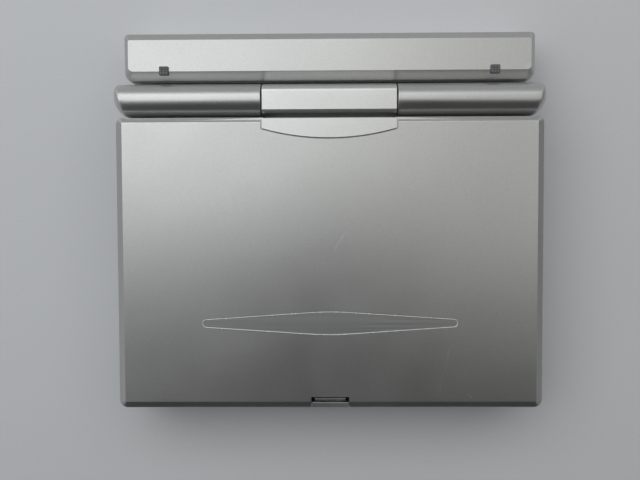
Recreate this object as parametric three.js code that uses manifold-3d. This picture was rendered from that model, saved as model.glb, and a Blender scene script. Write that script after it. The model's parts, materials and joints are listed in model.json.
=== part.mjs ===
// A portable DVD player, folded shut: a base with its disc drive, a lid with its screen, and a battery bar.
// Millimetres. X runs along the hinge, +Y points from the front latch to the battery, +Z is up. The origin is
// under the middle of the whole object, on the surface that it stands on.

import * as THREE from "three";
import { mergeVertices } from "three/addons/utils/BufferGeometryUtils.js";
import Module from "manifold-3d";

const wasm = await Module();
wasm.setup();

// ---------------------------------------------------------------- driving dimensions

const GAP = 0.3; // clearance between pieces that touch in use
const DEPTH = 170.6; // the lid's front edge to the battery's rear face
const FRONT = -DEPTH / 2;
const CORNER_STEPS = 3; // facets in a rounded corner

const BASE = { halfWidth: 95, front: 0.3, rear: 146.8, radius: 4, wall: 2, bottom: 1.5, split: 8, top: 21 };
const BASE_CHAMFER = { inset: 3, height: 2.5 };
const SHELL_SEAM = BASE.split + GAP;
const DECK_UNDERSIDE = BASE.top - BASE.wall;

const LID = { halfWidth: 96, depth: 131.3, bottom: 21.8, split: 23.7, top: 35, wall: 1.8 };
const LID_RADIUS = { front: 3.7, rear: 2.6 };
const LID_CHAMFER = { width: 3.1, rearWidth: 2.4, height: 1.9 };
const LID_SEAM = LID.split + GAP;
const LID_ROOF = LID.top - LID.wall;

const HINGE = { fromFront: 139.6, z: 27, barrelRadius: 7.5, barrelStart: 30.8, barrelEnd: 98.2 };
// The centre section between the two barrels, measured from the hinge line.
const HOUSING = {
  half: 30.3,
  flat: 6.6,
  ledge: 4.84,
  brow: [6.4, 5.2],
  front: 7.5,
  under: 7.4,
  rearFocus: 3.35,
};
const NECK = { half: 29, front: 125.5, bottom: 22.1, rise: 3, clearance: 0.5 };
const TROUGH = { radius: 8.7, halfLength: 30.7, floor: 16 };
const BARREL_BORE = { radius: 4.6, end: 92 };
const SLEEVE = { radius: 4.3, start: 32, end: 62 };
const PIN = { radius: 2, start: 16, end: 62 };
const PIN_BORE = PIN.radius + GAP;

const DISC = { x: -28, fromFront: 66.3 };
const BAY_RADIUS = 62.6;
const DOOR = {
  radius: 62.2,
  bottom: 19,
  top: 20.9,
  hingeFromFront: 129.5,
  hingeZ: 20,
  earHalf: 30,
  rear: 131.1,
};
const DOOR_PIN = { radius: 0.7, length: 1.4, bay: 1.1 };
const WELL = { radius: 61.5, outer: 62.4, bottom: 12.6, floor: 13.8, rim: 18.6, hubHole: 16 };
const SLED_SLOT = { start: 10, end: 61.2, half: 8 };
const LEG_FOOT = BASE.bottom + BASE.wall + GAP; // the drive's legs end just over the base's floor

// The pick-up's guides and its chassis are measured from the disc's centre.
const ROD = { radius: 1.5, offset: 17, z: 7.4, start: 11, end: 69 };
const LEAD_SCREW = { offset: -24, radius: 1.3, start: 8.8 };
const SLED_MOTOR = { start: -14, end: 8.4, radius: 2.9 };
const LENS = { fromSpindle: 24, radius: 3, top: 13.7 }; // at the disc's innermost track
const CHASSIS = { left: -40, right: 70, half: 34, bottom: 10.4, top: 11.6, tabBottom: 4.6 };
const CHASSIS_OPENING = { left: 14, right: 66.5, front: -28, rear: 22 };
const SLED = { left: -9, right: 7, half: 20.5, bottom: 5.2, top: 9.8, holderHalf: 7.4 };

const BOARD = { left: 43, right: 92.2, front: 12, rear: 120, bottom: 9, top: 10.6 };
const BOARD_POSTS = { left: 50, right: 78, front: 16, rear: 114, radius: 2.4 };
const KEY = {
  top: 21.35,
  shoulder: 18.7,
  flange: 17.5,
  foot: 11.6,
  stem: 2,
  lip: 1.5,
  gap: 0.4,
  radius: 1.5,
};
const JACK_Z = 14.8;
const JACK_END = { body: 92.7, nose: 94.9 };
const AUDIO_JACK = { inner: 83.5, half: 4.2, nose: 3.1, bore: 1.75, boreStart: 85 };
const DC_JACK = { fromFront: 104, inner: 81, half: 4.8, nose: 3.3, bore: 2.75, boreStart: 83, pin: 0.65 };
const JACKS = { headphone_jack_front: 38, headphone_jack_rear: 50, av_jack: 64 };
const WHEEL = { x: 88, fromFront: 20, radius: 8, bottom: 13.6, top: 16, slotHalf: 6.9 };
const POWER = { fromFront: 80.5, length: 4, travel: 3, skirt: 4 };
const NAV = { x: 64, fromFront: 66, ringInner: 6.5, ringOuter: 12, enter: 6.1, enterLip: 8 };
const KEYS = {
  play_button: { x: 56, fromFront: 92, width: 11, depth: 7 },
  stop_button: { x: 72, fromFront: 92, width: 11, depth: 7 },
  previous_button: { x: 56, fromFront: 40, width: 11, depth: 7 },
  next_button: { x: 72, fromFront: 40, width: 11, depth: 7 },
  door_button: { x: 64, fromFront: 116, width: 18, depth: 7 },
};

const FOOT = { radius: 5.5, height: 1.2, x: 80, front: 14, rear: 137 };
const CASE_SCREWS = { case_screw_left: [-85, 28], case_screw_right: [60, 130] };
const SCREW = { post: 3.4, bore: 1.5, head: 2.2, counterbore: 2.6, shank: 1.2, end: 14 };
const VENT = { left: -60, right: -30, first: 50, width: 2, pitch: 7, count: 5 };
const RELEASE = { x: 40, fromFront: 139, travel: 3, half: 8, depthHalf: 3, skirt: 12, skirtDepthHalf: 4.5 };

const SCREEN = { halfWidth: 78, front: 18, rear: 106 };
const PANEL = { halfWidth: 79, front: 16.5, rear: 107.5, top: 25.2 };
const BACKLIGHT = { halfWidth: 82.5, front: 11, rear: 113, bottom: 25.5, top: 30 };
const SPEAKER = { inner: 82.9, outer: 92.5, front: 43, rear: 81, top: 29 };
const SPEAKER_SLOT = { x: 88, half: 3.5, first: 50, width: 1.6, pitch: 6, count: 5 };
const INVERTER = { left: -75, right: -32, front: 116, rear: 124, bottom: 25.4, top: 27 };
const BRACKET = {
  half: 38,
  front: 116,
  rear: 124,
  bottom: 30.4,
  top: 31.6,
  flangeHalf: 26,
  flangeBottom: 25.4,
};
const BADGE = {
  fromFront: 38.7,
  halfLength: 57.4,
  halfHeight: 5.17,
  apexHalf: 8.4,
  tipRadius: 1.75,
  recess: 1,
  thickness: 0.4,
};
const SHIELD = { halfWidth: 30.2, apex: 121.9, shoulder: 126.1, rear: 131.5, bottom: 34.1, top: 35.25 };
const SHIELD_GAP = 0.35;
const NOTCH = { halfWidth: 8.6, depth: 5.24, blockHalf: 10.4, blockDepth: 10 };
const SPRING_POCKET = { front: 4, rear: 8.5, top: 28 };
const LATCH = {
  half: 8.3,
  front: 0.2,
  rear: 2.45,
  top: 33.3,
  ribHalf: 7,
  ribFront: 3.4,
  ribRear: 4.3,
  webTop: 27,
};
const HOOK = { half: 4, front: 2.9, bottom: 17.6, barb: 1 };
const HOOK_SLOT = { half: 5, front: 2.5, rear: 5.6 };

const PACK = { halfWidth: 94, front: 148.4, rear: 170.6, bottom: 3, split: 15, top: 27, wall: 1.5 };
const PACK_RADIUS = { front: 4.5, rear: 1.8 };
const CELL = { radius: 9, length: 65, fromFront: 159.6, z: 15 };
const PACK_BOARD = { left: 68, right: 90, front: 152, rear: 167, bottom: 16, top: 17.6 };
const PACK_HOOK = { x: 60, halfWidth: 3, front: 143.5, bottom: 4.6, top: 6.8, gap: 0.5 };
const BUMPER = { x: 75.3, halfWidth: 2.1, front: 151.4, rear: 155.3, proud: 1.2, crease: 4.7 };

// ---------------------------------------------------------------- making solids

const back = (fromFront) => FRONT + fromFront;

// A closed three.js geometry as a solid: shared vertices merged, and triangles that collapsed dropped.
function toSolid(geometry) {
  const bare = geometry.clone();
  bare.deleteAttribute("normal");
  bare.deleteAttribute("uv");
  const merged = mergeVertices(bare, 1e-4);
  const index = Array.from(merged.index.array);
  const kept = [];
  for (let i = 0; i < index.length; i += 3) {
    const [a, b, c] = index.slice(i, i + 3);
    if (a !== b && b !== c && c !== a) kept.push(a, b, c);
  }
  return new wasm.Manifold(
    new wasm.Mesh({
      numProp: 3,
      vertProperties: merged.attributes.position.array,
      triVerts: new Uint32Array(kept),
    }),
  );
}

function toGeometry(solid) {
  const mesh = solid.getMesh();
  const positions = new Float32Array(mesh.numVert * 3);
  for (let i = 0; i < mesh.numVert; i++) {
    const start = i * mesh.numProp;
    positions.set(mesh.vertProperties.subarray(start, start + 3), i * 3);
  }
  const geometry = new THREE.BufferGeometry();
  geometry.setAttribute("position", new THREE.BufferAttribute(positions, 3));
  geometry.setIndex(new THREE.BufferAttribute(mesh.triVerts, 1));
  const faceted = geometry.toNonIndexed();
  faceted.computeVertexNormals();
  return faceted;
}

const join = (first, ...others) => others.reduce((whole, part) => whole.add(part), first);
const cut = (first, ...others) => others.reduce((whole, part) => whole.subtract(part), first);

// Every maker below takes its Y values as distances back from the lid's front edge.
function block(x0, x1, y0, y1, z0, z1) {
  const box = new THREE.BoxGeometry(x1 - x0, y1 - y0, z1 - z0);
  box.translate((x0 + x1) / 2, back((y0 + y1) / 2), (z0 + z1) / 2);
  return toSolid(box);
}

function post(x, fromFront, z0, z1, radius, segments = 16) {
  const cylinder = new THREE.CylinderGeometry(radius, radius, z1 - z0, segments);
  cylinder.rotateX(Math.PI / 2);
  cylinder.translate(x, back(fromFront), (z0 + z1) / 2);
  return toSolid(cylinder);
}

function rod(x0, x1, fromFront, z, radius, segments = 16) {
  const cylinder = new THREE.CylinderGeometry(radius, radius, x1 - x0, segments);
  cylinder.rotateZ(Math.PI / 2);
  cylinder.translate((x0 + x1) / 2, back(fromFront), z);
  return toSolid(cylinder);
}

// A profile of [radius, along] points turned about an upright line.
function turnedUpright(profile, x, fromFront, segments) {
  const points = profile.map(([radius, along]) => new THREE.Vector2(radius, along));
  const lathe = new THREE.LatheGeometry(points, segments);
  lathe.rotateX(Math.PI / 2);
  lathe.translate(x, back(fromFront), 0);
  return toSolid(lathe);
}

// A profile of [radius, along] points turned about the hinge line, or another line along X.
function turnedAlongX(profile, fromFront, z, segments) {
  const points = profile.map(([radius, along]) => new THREE.Vector2(radius, along));
  const lathe = new THREE.LatheGeometry(points, segments);
  lathe.rotateZ(-Math.PI / 2);
  lathe.translate(0, back(fromFront), z);
  return toSolid(lathe);
}

// An outline drawn in X and Y, raised from z0 to z1.
function raised(shape, z0, z1, curveSegments = 12) {
  const prism = new THREE.ExtrudeGeometry(shape, { depth: z1 - z0, bevelEnabled: false, curveSegments });
  prism.translate(0, FRONT, z0);
  return toSolid(prism);
}

// A section drawn in Y and Z, run along X from x0 to x1.
function alongX(shape, x0, x1, curveSegments = 8) {
  const prism = new THREE.ExtrudeGeometry(shape, { depth: x1 - x0, bevelEnabled: false, curveSegments });
  const turn = new THREE.Matrix4().makeBasis(
    new THREE.Vector3(0, 1, 0),
    new THREE.Vector3(0, 0, 1),
    new THREE.Vector3(1, 0, 0),
  );
  prism.applyMatrix4(turn);
  prism.translate(x0, FRONT, 0);
  return toSolid(prism);
}

const outline = (points) => new THREE.Shape(points.map(([u, v]) => new THREE.Vector2(u, v)));

// A rounded rectangle as a loop of points, counter-clockwise from its front left corner.
function roundedLoop(x0, x1, y0, y1, frontRadius, rearRadius = frontRadius) {
  const corners = [
    [x0 + frontRadius, y0 + frontRadius, Math.PI, frontRadius],
    [x1 - frontRadius, y0 + frontRadius, 1.5 * Math.PI, frontRadius],
    [x1 - rearRadius, y1 - rearRadius, 0, rearRadius],
    [x0 + rearRadius, y1 - rearRadius, 0.5 * Math.PI, rearRadius],
  ];
  const loop = [];
  for (const [cx, cy, start, radius] of corners) {
    for (let i = 0; i <= CORNER_STEPS; i++) {
      const angle = start + ((i / CORNER_STEPS) * Math.PI) / 2;
      loop.push(new THREE.Vector2(cx + radius * Math.cos(angle), cy + radius * Math.sin(angle)));
    }
  }
  return loop;
}

// A closed solid through a stack of [z, loop] layers with equal numbers of points, lowest first.
function stacked(layers) {
  const count = layers[0][1].length;
  const vertices = layers.flatMap(([z, loop]) => loop.map((p) => [p.x, back(p.y), z]));
  const faces = [];
  for (let layer = 0; layer + 1 < layers.length; layer++) {
    for (let i = 0; i < count; i++) {
      const a = layer * count + i;
      const b = layer * count + ((i + 1) % count);
      faces.push([a, b, b + count], [a, b + count, a + count]);
    }
  }
  const topStart = (layers.length - 1) * count;
  for (const [a, b, c] of THREE.ShapeUtils.triangulateShape(layers[0][1], [])) faces.push([a, c, b]);
  for (const [a, b, c] of THREE.ShapeUtils.triangulateShape(layers.at(-1)[1], [])) {
    faces.push([a + topStart, b + topStart, c + topStart]);
  }
  const geometry = new THREE.BufferGeometry();
  const corners = faces.flat().flatMap((i) => vertices[i]);
  geometry.setAttribute("position", new THREE.Float32BufferAttribute(corners, 3));
  return toSolid(geometry);
}

const slab = (loop, z0, z1) => stacked([[z0, loop], [z1, loop]]);

// ---------------------------------------------------------------- materials and meshes

function finish(color, roughness, metalness) {
  return { color, roughness, metalness };
}

const SILVER = finish(0xb9bcc0, 0.38, 0.6);
const BRUSHED = finish(0xa7a9ab, 0.3, 0.9);
const STEEL = finish(0x9a9da1, 0.35, 1);
const DARK_PLASTIC = finish(0x2a2b2d, 0.6, 0);
const GREY_PLASTIC = finish(0x8d9093, 0.5, 0.1);
const BLACK_RUBBER = finish(0x1d1d1f, 0.85, 0);
const GREY_RUBBER = finish(0x77797c, 0.85, 0);
const SCREEN_GLASS = finish(0x101216, 0.1, 0);
const CIRCUIT_BOARD = finish(0x1f5a38, 0.5, 0);
const CELL_WRAP = finish(0x2f5f96, 0.4, 0);
const LENS_GLASS = finish(0x8a5fa8, 0.05, 0);

function piece(name, solid, look) {
  const mesh = new THREE.Mesh(toGeometry(solid), new THREE.MeshStandardMaterial(look));
  mesh.name = name;
  return mesh;
}

// The same piece reflected to the left side of the object.
function leftTwin(name, solid, look) {
  const mesh = piece(name, solid, look);
  mesh.scale.x = -1;
  return mesh;
}

function assembly(...parts) {
  const group = new THREE.Group();
  group.add(...parts);
  return group;
}

// ---------------------------------------------------------------- base shells

function baseLoop(inset) {
  const { halfWidth, front, rear, radius } = BASE;
  const x = halfWidth - inset;
  return roundedLoop(-x, x, front + inset, rear - inset, Math.max(radius - inset, 1));
}

function baseLowerShell() {
  const floorTop = BASE.bottom + BASE.wall;
  const tub = cut(
    stacked([
      [BASE.bottom, baseLoop(BASE_CHAMFER.inset)],
      [BASE.bottom + BASE_CHAMFER.height, baseLoop(0)],
      [BASE.split, baseLoop(0)],
    ]),
    stacked([
      [floorTop, baseLoop(BASE_CHAMFER.inset + 0.8)],
      [floorTop + 1, baseLoop(BASE.wall)],
      [BASE.split + 1, baseLoop(BASE.wall)],
    ]),
  );
  const screws = Object.values(CASE_SCREWS);
  const screwPosts = screws.map(([x, y]) => post(x, y, floorTop - 0.1, BASE.split, SCREW.post));
  const boardPosts = [];
  for (const x of [BOARD_POSTS.left, BOARD_POSTS.right]) {
    for (const y of [BOARD_POSTS.front, BOARD_POSTS.rear]) {
      boardPosts.push(post(x, y, floorTop - 0.1, BOARD.bottom - GAP, BOARD_POSTS.radius, 12));
    }
  }
  const screwHoles = screws.flatMap(([x, y]) => [
    post(x, y, BASE.bottom - 1, floorTop, SCREW.counterbore),
    post(x, y, BASE.bottom, BASE.split + 1, SCREW.bore, 12),
  ]);
  const vents = [];
  for (let i = 0; i < VENT.count; i++) {
    const y = VENT.first + VENT.pitch * i;
    vents.push(block(VENT.left, VENT.right, y, y + VENT.width, 0, floorTop + 1));
  }
  const hookSlots = [-1, 1].map((side) => {
    const x = side * PACK_HOOK.x;
    const half = PACK_HOOK.halfWidth + PACK_HOOK.gap;
    const low = PACK_HOOK.bottom - PACK_HOOK.gap;
    const high = PACK_HOOK.top + PACK_HOOK.gap;
    return block(x - half, x + half, BASE.rear - 3, BASE.rear + 1, low, high);
  });
  const releaseHalf = RELEASE.half + KEY.gap;
  const releaseDepth = RELEASE.depthHalf + KEY.gap;
  const releaseSlot = block(
    RELEASE.x - releaseHalf,
    RELEASE.x + releaseHalf + RELEASE.travel,
    RELEASE.fromFront - releaseDepth,
    RELEASE.fromFront + releaseDepth,
    0,
    floorTop + 1,
  );
  return cut(join(tub, ...screwPosts, ...boardPosts), ...screwHoles, ...vents, ...hookSlots, releaseSlot);
}

// A key's outline, a margin larger all round.
function keyLoop({ x, fromFront, width, depth }, margin, radius) {
  const halfWidth = width / 2 + margin;
  const halfDepth = depth / 2 + margin;
  return roundedLoop(x - halfWidth, x + halfWidth, fromFront - halfDepth, fromFront + halfDepth, radius);
}

function keyHole(key) {
  return slab(keyLoop(key, KEY.gap, KEY.radius + KEY.gap), DECK_UNDERSIDE - 1, BASE.top + 1);
}

function baseUpperShell() {
  const { x, fromFront } = DISC;
  const tub = cut(
    slab(baseLoop(0), SHELL_SEAM, BASE.top),
    slab(baseLoop(BASE.wall), SHELL_SEAM - 1, DECK_UNDERSIDE),
  );
  const troughWall = TROUGH.halfLength + BASE.wall;
  const bayRear = DOOR.rear + 0.6;
  const troughTop = DECK_UNDERSIDE + 0.5;
  const troughBlock = block(-troughWall, troughWall, bayRear, BASE.rear - 0.5, TROUGH.floor, troughTop);
  const screws = Object.values(CASE_SCREWS);
  const screwPosts = screws.map(([sx, sy]) => post(sx, sy, SHELL_SEAM, DECK_UNDERSIDE + 0.5, SCREW.post));
  const screwBores = screws.map(([sx, sy]) => post(sx, sy, SHELL_SEAM - 1, SCREW.end + 1, SCREW.bore, 12));
  const trough = rod(-TROUGH.halfLength, TROUGH.halfLength, HINGE.fromFront, HINGE.z, TROUGH.radius, 32);
  const below = DECK_UNDERSIDE - 1;
  const above = BASE.top + 1;
  const bay = post(x, fromFront, below, above, BAY_RADIUS, 56);
  const ears = DOOR.earHalf + KEY.gap;
  const earBay = block(x - ears, x + ears, 100, bayRear, below, above);
  const pinBays = [-1, 1].map((side) => {
    const near = x + side * (DOOR.earHalf - 1);
    const far = x + side * (DOOR.earHalf + DOOR_PIN.length + 0.5);
    const front = DOOR.hingeFromFront - DOOR_PIN.bay;
    const rear = DOOR.hingeFromFront + DOOR_PIN.bay;
    return block(Math.min(near, far), Math.max(near, far), front, rear, below, above);
  });
  const hookSlot = block(-HOOK_SLOT.half, HOOK_SLOT.half, HOOK_SLOT.front, HOOK_SLOT.rear, below, above);
  const keyHoles = Object.values(KEYS).map(keyHole);
  const ringHole = post(NAV.x, NAV.fromFront, below, above, NAV.ringOuter + KEY.gap, 28);
  const wallIn = BASE.halfWidth - BASE.wall - 1;
  const wallOut = BASE.halfWidth + 1;
  const jackHoles = Object.values(JACKS).map((y) => rod(wallIn, wallOut, y, JACK_Z, AUDIO_JACK.nose + GAP));
  const dcHole = rod(wallIn, wallOut, DC_JACK.fromFront, JACK_Z, DC_JACK.nose + GAP);
  const slotLow = WHEEL.bottom - KEY.gap;
  const slotHigh = WHEEL.top + KEY.gap;
  const wheelFront = WHEEL.fromFront - WHEEL.slotHalf;
  const wheelSlot = block(wallIn, wallOut, wheelFront, WHEEL.fromFront + WHEEL.slotHalf, slotLow, slotHigh);
  const powerEnd = POWER.fromFront + POWER.length + POWER.travel;
  const powerSlot = block(wallIn, wallOut, POWER.fromFront - KEY.gap, powerEnd + KEY.gap, slotLow, slotHigh);
  return cut(
    join(tub, troughBlock, ...screwPosts),
    trough,
    bay,
    earBay,
    ...pinBays,
    hookSlot,
    ...keyHoles,
    ringHole,
    ...jackHoles,
    dcHole,
    wheelSlot,
    powerSlot,
    ...screwBores,
  );
}

// ---------------------------------------------------------------- hinge

// The closed end of a barrel is nearly flat, with a rounded rim that turns in slowly.
function hingeBarrel() {
  const { barrelRadius: radius, barrelStart, barrelEnd } = HINGE;
  const profile = [
    [0, BARREL_BORE.end],
    [BARREL_BORE.radius, BARREL_BORE.end],
    [BARREL_BORE.radius, barrelStart],
    [radius, barrelStart],
    [radius, barrelEnd - 7],
    [radius - 0.2, barrelEnd - 4.2],
    [radius - 0.7, barrelEnd - 2.6],
    [radius - 1.5, barrelEnd - 1.4],
    [radius - 3, barrelEnd - 0.5],
    [radius - 5, barrelEnd],
    [0, barrelEnd],
  ];
  const tube = turnedAlongX(profile, HINGE.fromFront, HINGE.z, 28);
  const belowDeck = block(0, 100, HINGE.fromFront - 10, HINGE.fromFront + 10, 15, BASE.top + GAP);
  return tube.subtract(belowDeck);
}

function frictionSleeve() {
  const profile = [
    [PIN_BORE, SLEEVE.start],
    [SLEEVE.radius, SLEEVE.start],
    [SLEEVE.radius, SLEEVE.end],
    [PIN_BORE, SLEEVE.end],
    [PIN_BORE, SLEEVE.start],
  ];
  return turnedAlongX(profile, HINGE.fromFront, HINGE.z, 16);
}

const hingePin = () => rod(PIN.start, PIN.end, HINGE.fromFront, HINGE.z, PIN.radius, 12);

// The section of the centre housing: flat on top, one facet to the front, an ellipse down the rear.
function housingSection() {
  const { flat, ledge, brow, front, under, rearFocus } = HOUSING;
  const at = (y, z) => [HINGE.fromFront + y, HINGE.z + z];
  const section = new THREE.Shape();
  section.moveTo(...at(-front, 0));
  section.lineTo(...at(-brow[0], brow[1]));
  section.lineTo(...at(-ledge, flat));
  section.lineTo(...at(rearFocus, flat));
  section.absellipse(...at(rearFocus, 0), under - rearFocus, flat, Math.PI / 2, 0, true);
  section.absarc(...at(0, 0), under, 0, -Math.PI, true);
  return section;
}

function hingeCentreHousing() {
  const { half } = HOUSING;
  const tube = alongX(housingSection(), -half, half);
  const neckRear = HINGE.fromFront - HOUSING.brow[0] + 0.4;
  const neck = block(-NECK.half, NECK.half, NECK.front, neckRear, NECK.bottom, HINGE.z + NECK.rise);
  const bore = rod(-half - 1, half + 1, HINGE.fromFront, HINGE.z, PIN_BORE, 12);
  return tube.add(neck).subtract(bore);
}

function lidHingeBracket() {
  const { half, front, rear, bottom, top, flangeHalf, flangeBottom } = BRACKET;
  const plate = block(-half, half, front, rear, bottom, top);
  const foot = block(-flangeHalf, flangeHalf, rear - 1, rear + 5, bottom, top);
  const flange = block(-flangeHalf, flangeHalf, front - 1, front + 0.2, flangeBottom, top);
  const middle = (front + rear) / 2;
  const holes = [-33, -16, 16, 33].map((x) => post(x, middle, bottom - 0.4, top + 0.4, SCREW.bore, 12));
  return cut(join(plate, foot, flange), ...holes);
}

// The tongue over the hinge: square at the rear, an arc towards the front.
function shieldOutline(margin) {
  const { halfWidth, apex, shoulder, rear } = SHIELD;
  const rise = shoulder - apex;
  const radius = (halfWidth ** 2 + rise ** 2) / (2 * rise);
  const half = Math.asin((halfWidth + margin) / (radius + margin));
  const tongue = new THREE.Shape();
  tongue.moveTo(halfWidth + margin, rear + margin);
  tongue.lineTo(-halfWidth - margin, rear + margin);
  tongue.absarc(0, apex + radius, radius + margin, 1.5 * Math.PI - half, 1.5 * Math.PI + half, false);
  return tongue;
}

// ---------------------------------------------------------------- disc drive

function discWell() {
  const { x, fromFront } = DISC;
  const { radius, outer, bottom, floor, rim, hubHole } = WELL;
  const profile = [
    [hubHole, bottom],
    [outer, bottom],
    [outer, rim],
    [radius, rim],
    [radius, floor],
    [hubHole, floor],
    [hubHole, bottom],
  ];
  const dish = turnedUpright(profile, x, fromFront, 48);
  const { start, end, half } = SLED_SLOT;
  const sledSlot = block(x + start, x + end, fromFront - half, fromFront + half, bottom - 1, floor + 1);
  const legs = [[-50, -20], [-50, 20], [10, 52]].map(([dx, dy]) =>
    post(x + dx, fromFront + dy, LEG_FOOT, bottom + 0.5, 2.5, 12),
  );
  return join(dish, ...legs).subtract(sledSlot);
}

function driveChassis() {
  const { x, fromFront: y } = DISC;
  const { left, right, half, bottom, top, tabBottom } = CHASSIS;
  const { left: holeLeft, right: holeRight, front, rear } = CHASSIS_OPENING;
  const plate = block(x + left, x + right, y - half, y + half, bottom, top);
  const opening = block(x + holeLeft, x + holeRight, y + front, y + rear, bottom - 1, top + 1);
  const innerTab = block(x + ROD.start, x + ROD.start + 2, y + front, y + rear, tabBottom, bottom + 0.5);
  const outerTab = block(x + ROD.end - 2, x + ROD.end, y + front, y + rear, tabBottom, bottom + 0.5);
  const legs = [[-36, -30], [-36, 30], [60, -31], [60, 31]].map(([dx, dy]) =>
    post(x + dx, y + dy, LEG_FOOT, bottom + 0.5, 2.3, 12),
  );
  const shaftHole = post(x, y, bottom - 1, top + 1, 2.5, 16);
  const acrossTabs = (dy, radius) => rod(x + 5, x + 75, y + dy, ROD.z, radius, 12);
  const rodHoles = [-ROD.offset, ROD.offset].map((dy) => acrossTabs(dy, ROD.radius + GAP));
  const screwHole = acrossTabs(LEAD_SCREW.offset, LEAD_SCREW.radius + 0.5);
  return cut(join(cut(plate, opening), innerTab, outerTab, ...legs), shaftHole, ...rodHoles, screwHole);
}

function spindleMotor() {
  const { x, fromFront } = DISC;
  const can = post(x, fromFront, 4.2, CHASSIS.bottom - GAP, 10.3, 24);
  const shaft = post(x, fromFront, CHASSIS.bottom - 1, WELL.floor - GAP, 1, 12);
  return can.add(shaft);
}

// The turntable and the cone that centres a 15 mm disc hole.
function spindleHub() {
  return turnedUpright(
    [
      [0, 13.8],
      [1.3, 13.8],
      [1.3, 12.2],
      [4, 12.2],
      [4, 14.6],
      [13.5, 14.6],
      [13.5, 15.6],
      [7.4, 15.6],
      [7.2, 16.8],
      [5.4, 17.6],
      [0, 17.6],
    ],
    DISC.x,
    DISC.fromFront,
    24,
  );
}

// The carriage that rides on the two guide rods, with the lens holder on it and a nut beside the lead screw.
function opticalSled() {
  const { x, fromFront: y } = DISC;
  const inner = x + LENS.fromSpindle + SLED.left;
  const outer = x + LENS.fromSpindle + SLED.right;
  const carriage = block(inner, outer, y - SLED.half, y + SLED.half, SLED.bottom, SLED.top);
  const holderTop = WELL.bottom - 0.4;
  const holder = block(inner + 2, outer, y - SLED.holderHalf, y + SLED.holderHalf, SLED.top - 0.3, holderTop);
  const nutFront = y + LEAD_SCREW.offset + 1.7;
  const nut = block(inner + 4, outer - 4, nutFront, y - SLED.half + 0.5, ROD.z - 0.8, ROD.z + 0.8);
  const along = (dy) => rod(inner - 1, outer + 1, y + dy, ROD.z, ROD.radius + GAP, 12);
  return cut(join(carriage, holder, nut), along(-ROD.offset), along(ROD.offset));
}

function objectiveLens() {
  return post(DISC.x + LENS.fromSpindle, DISC.fromFront, WELL.bottom - 0.1, LENS.top, LENS.radius, 16);
}

// A bar under the disc, along the pick-up's travel; its ends and its offset are from the disc's centre.
function driveRod(start, end, offset, radius, segments = 12) {
  return rod(DISC.x + start, DISC.x + end, DISC.fromFront + offset, ROD.z, radius, segments);
}

const guideRod = (offset) => driveRod(ROD.start, ROD.end, offset, ROD.radius);
const leadScrew = () => driveRod(LEAD_SCREW.start, ROD.end, LEAD_SCREW.offset, LEAD_SCREW.radius);
const sledMotor = () => driveRod(SLED_MOTOR.start, SLED_MOTOR.end, LEAD_SCREW.offset, SLED_MOTOR.radius, 16);

// The door is the bay's disc with a square tail, turning on two stub pins at the tail's sides.
function discDoor() {
  const { x, fromFront } = DISC;
  const { radius, bottom, top, earHalf, rear, hingeFromFront, hingeZ } = DOOR;
  const lidDisc = post(x, fromFront, bottom, top, radius, 56);
  const tail = block(x - earHalf, x + earHalf, 105, rear, bottom, top);
  const reach = earHalf + DOOR_PIN.length;
  const pins = rod(x - reach, x + reach, hingeFromFront, hingeZ, DOOR_PIN.radius, 10);
  return join(lidDisc, tail, pins);
}

// ---------------------------------------------------------------- electronics and controls in the base

function mainBoard() {
  const { left, right, front, rear, bottom, top } = BOARD;
  const board = block(left, right, front, rear, bottom, top);
  const processor = block(left + 9, left + 25, front + 6, front + 20, top - 0.1, top + 1.8);
  const memory = block(left + 7, left + 19, rear - 20, rear - 12, top - 0.1, top + 1.3);
  const capacitors = [22, 12].map((inset) => post(left + 31, rear - inset, top - 0.1, top + 5.4, 3, 12));
  return join(board, processor, memory, ...capacitors);
}

// A socket on the board whose round nose stands in a hole of the case's right wall.
function socket(fromFront, { inner, half, nose, bore, boreStart }, boreSegments) {
  const bottom = BOARD.top + GAP;
  const body = block(inner, JACK_END.body, fromFront - half, fromFront + half, bottom, DECK_UNDERSIDE - 0.5);
  const mouth = rod(JACK_END.body - 0.7, JACK_END.nose, fromFront, JACK_Z, nose);
  return body.add(mouth).subtract(rod(boreStart, JACK_END.nose + 1, fromFront, JACK_Z, bore, boreSegments));
}

const audioJack = (fromFront) => socket(fromFront, AUDIO_JACK, 12);

function dcJack() {
  const { fromFront, boreStart, pin } = DC_JACK;
  const centrePin = rod(boreStart - 0.5, JACK_END.nose - 1.4, fromFront, JACK_Z, pin, 8);
  return socket(fromFront, DC_JACK, 16).add(centrePin);
}

function volumeWheel() {
  const { x, fromFront, radius, bottom, top } = WHEEL;
  const stem = post(x, fromFront, BOARD.top + GAP, bottom + 0.5, 2, 12);
  return post(x, fromFront, bottom, top, radius, 28).add(stem);
}

function powerSwitch() {
  const { fromFront, length, skirt } = POWER;
  const end = fromFront + length;
  const wallInside = BASE.halfWidth - BASE.wall;
  const nub = block(wallInside - 1, BASE.halfWidth + 0.9, fromFront, end, WHEEL.bottom, WHEEL.top);
  const low = WHEEL.bottom - 1.2;
  const high = WHEEL.top + 1.2;
  const plate = block(wallInside - 1.8, wallInside - GAP, fromFront - skirt, end + skirt, low, high);
  return nub.add(plate);
}

// A push key: its cap stands in a hole of the deck, and its lip and stem are below.
function pushKey(key) {
  const cap = slab(keyLoop(key, 0, KEY.radius), KEY.shoulder - 0.1, KEY.top);
  const lip = slab(keyLoop(key, KEY.lip, KEY.radius), KEY.flange, KEY.shoulder);
  return join(cap, lip, post(key.x, key.fromFront, KEY.foot, KEY.flange + 0.1, KEY.stem, 12));
}

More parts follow.
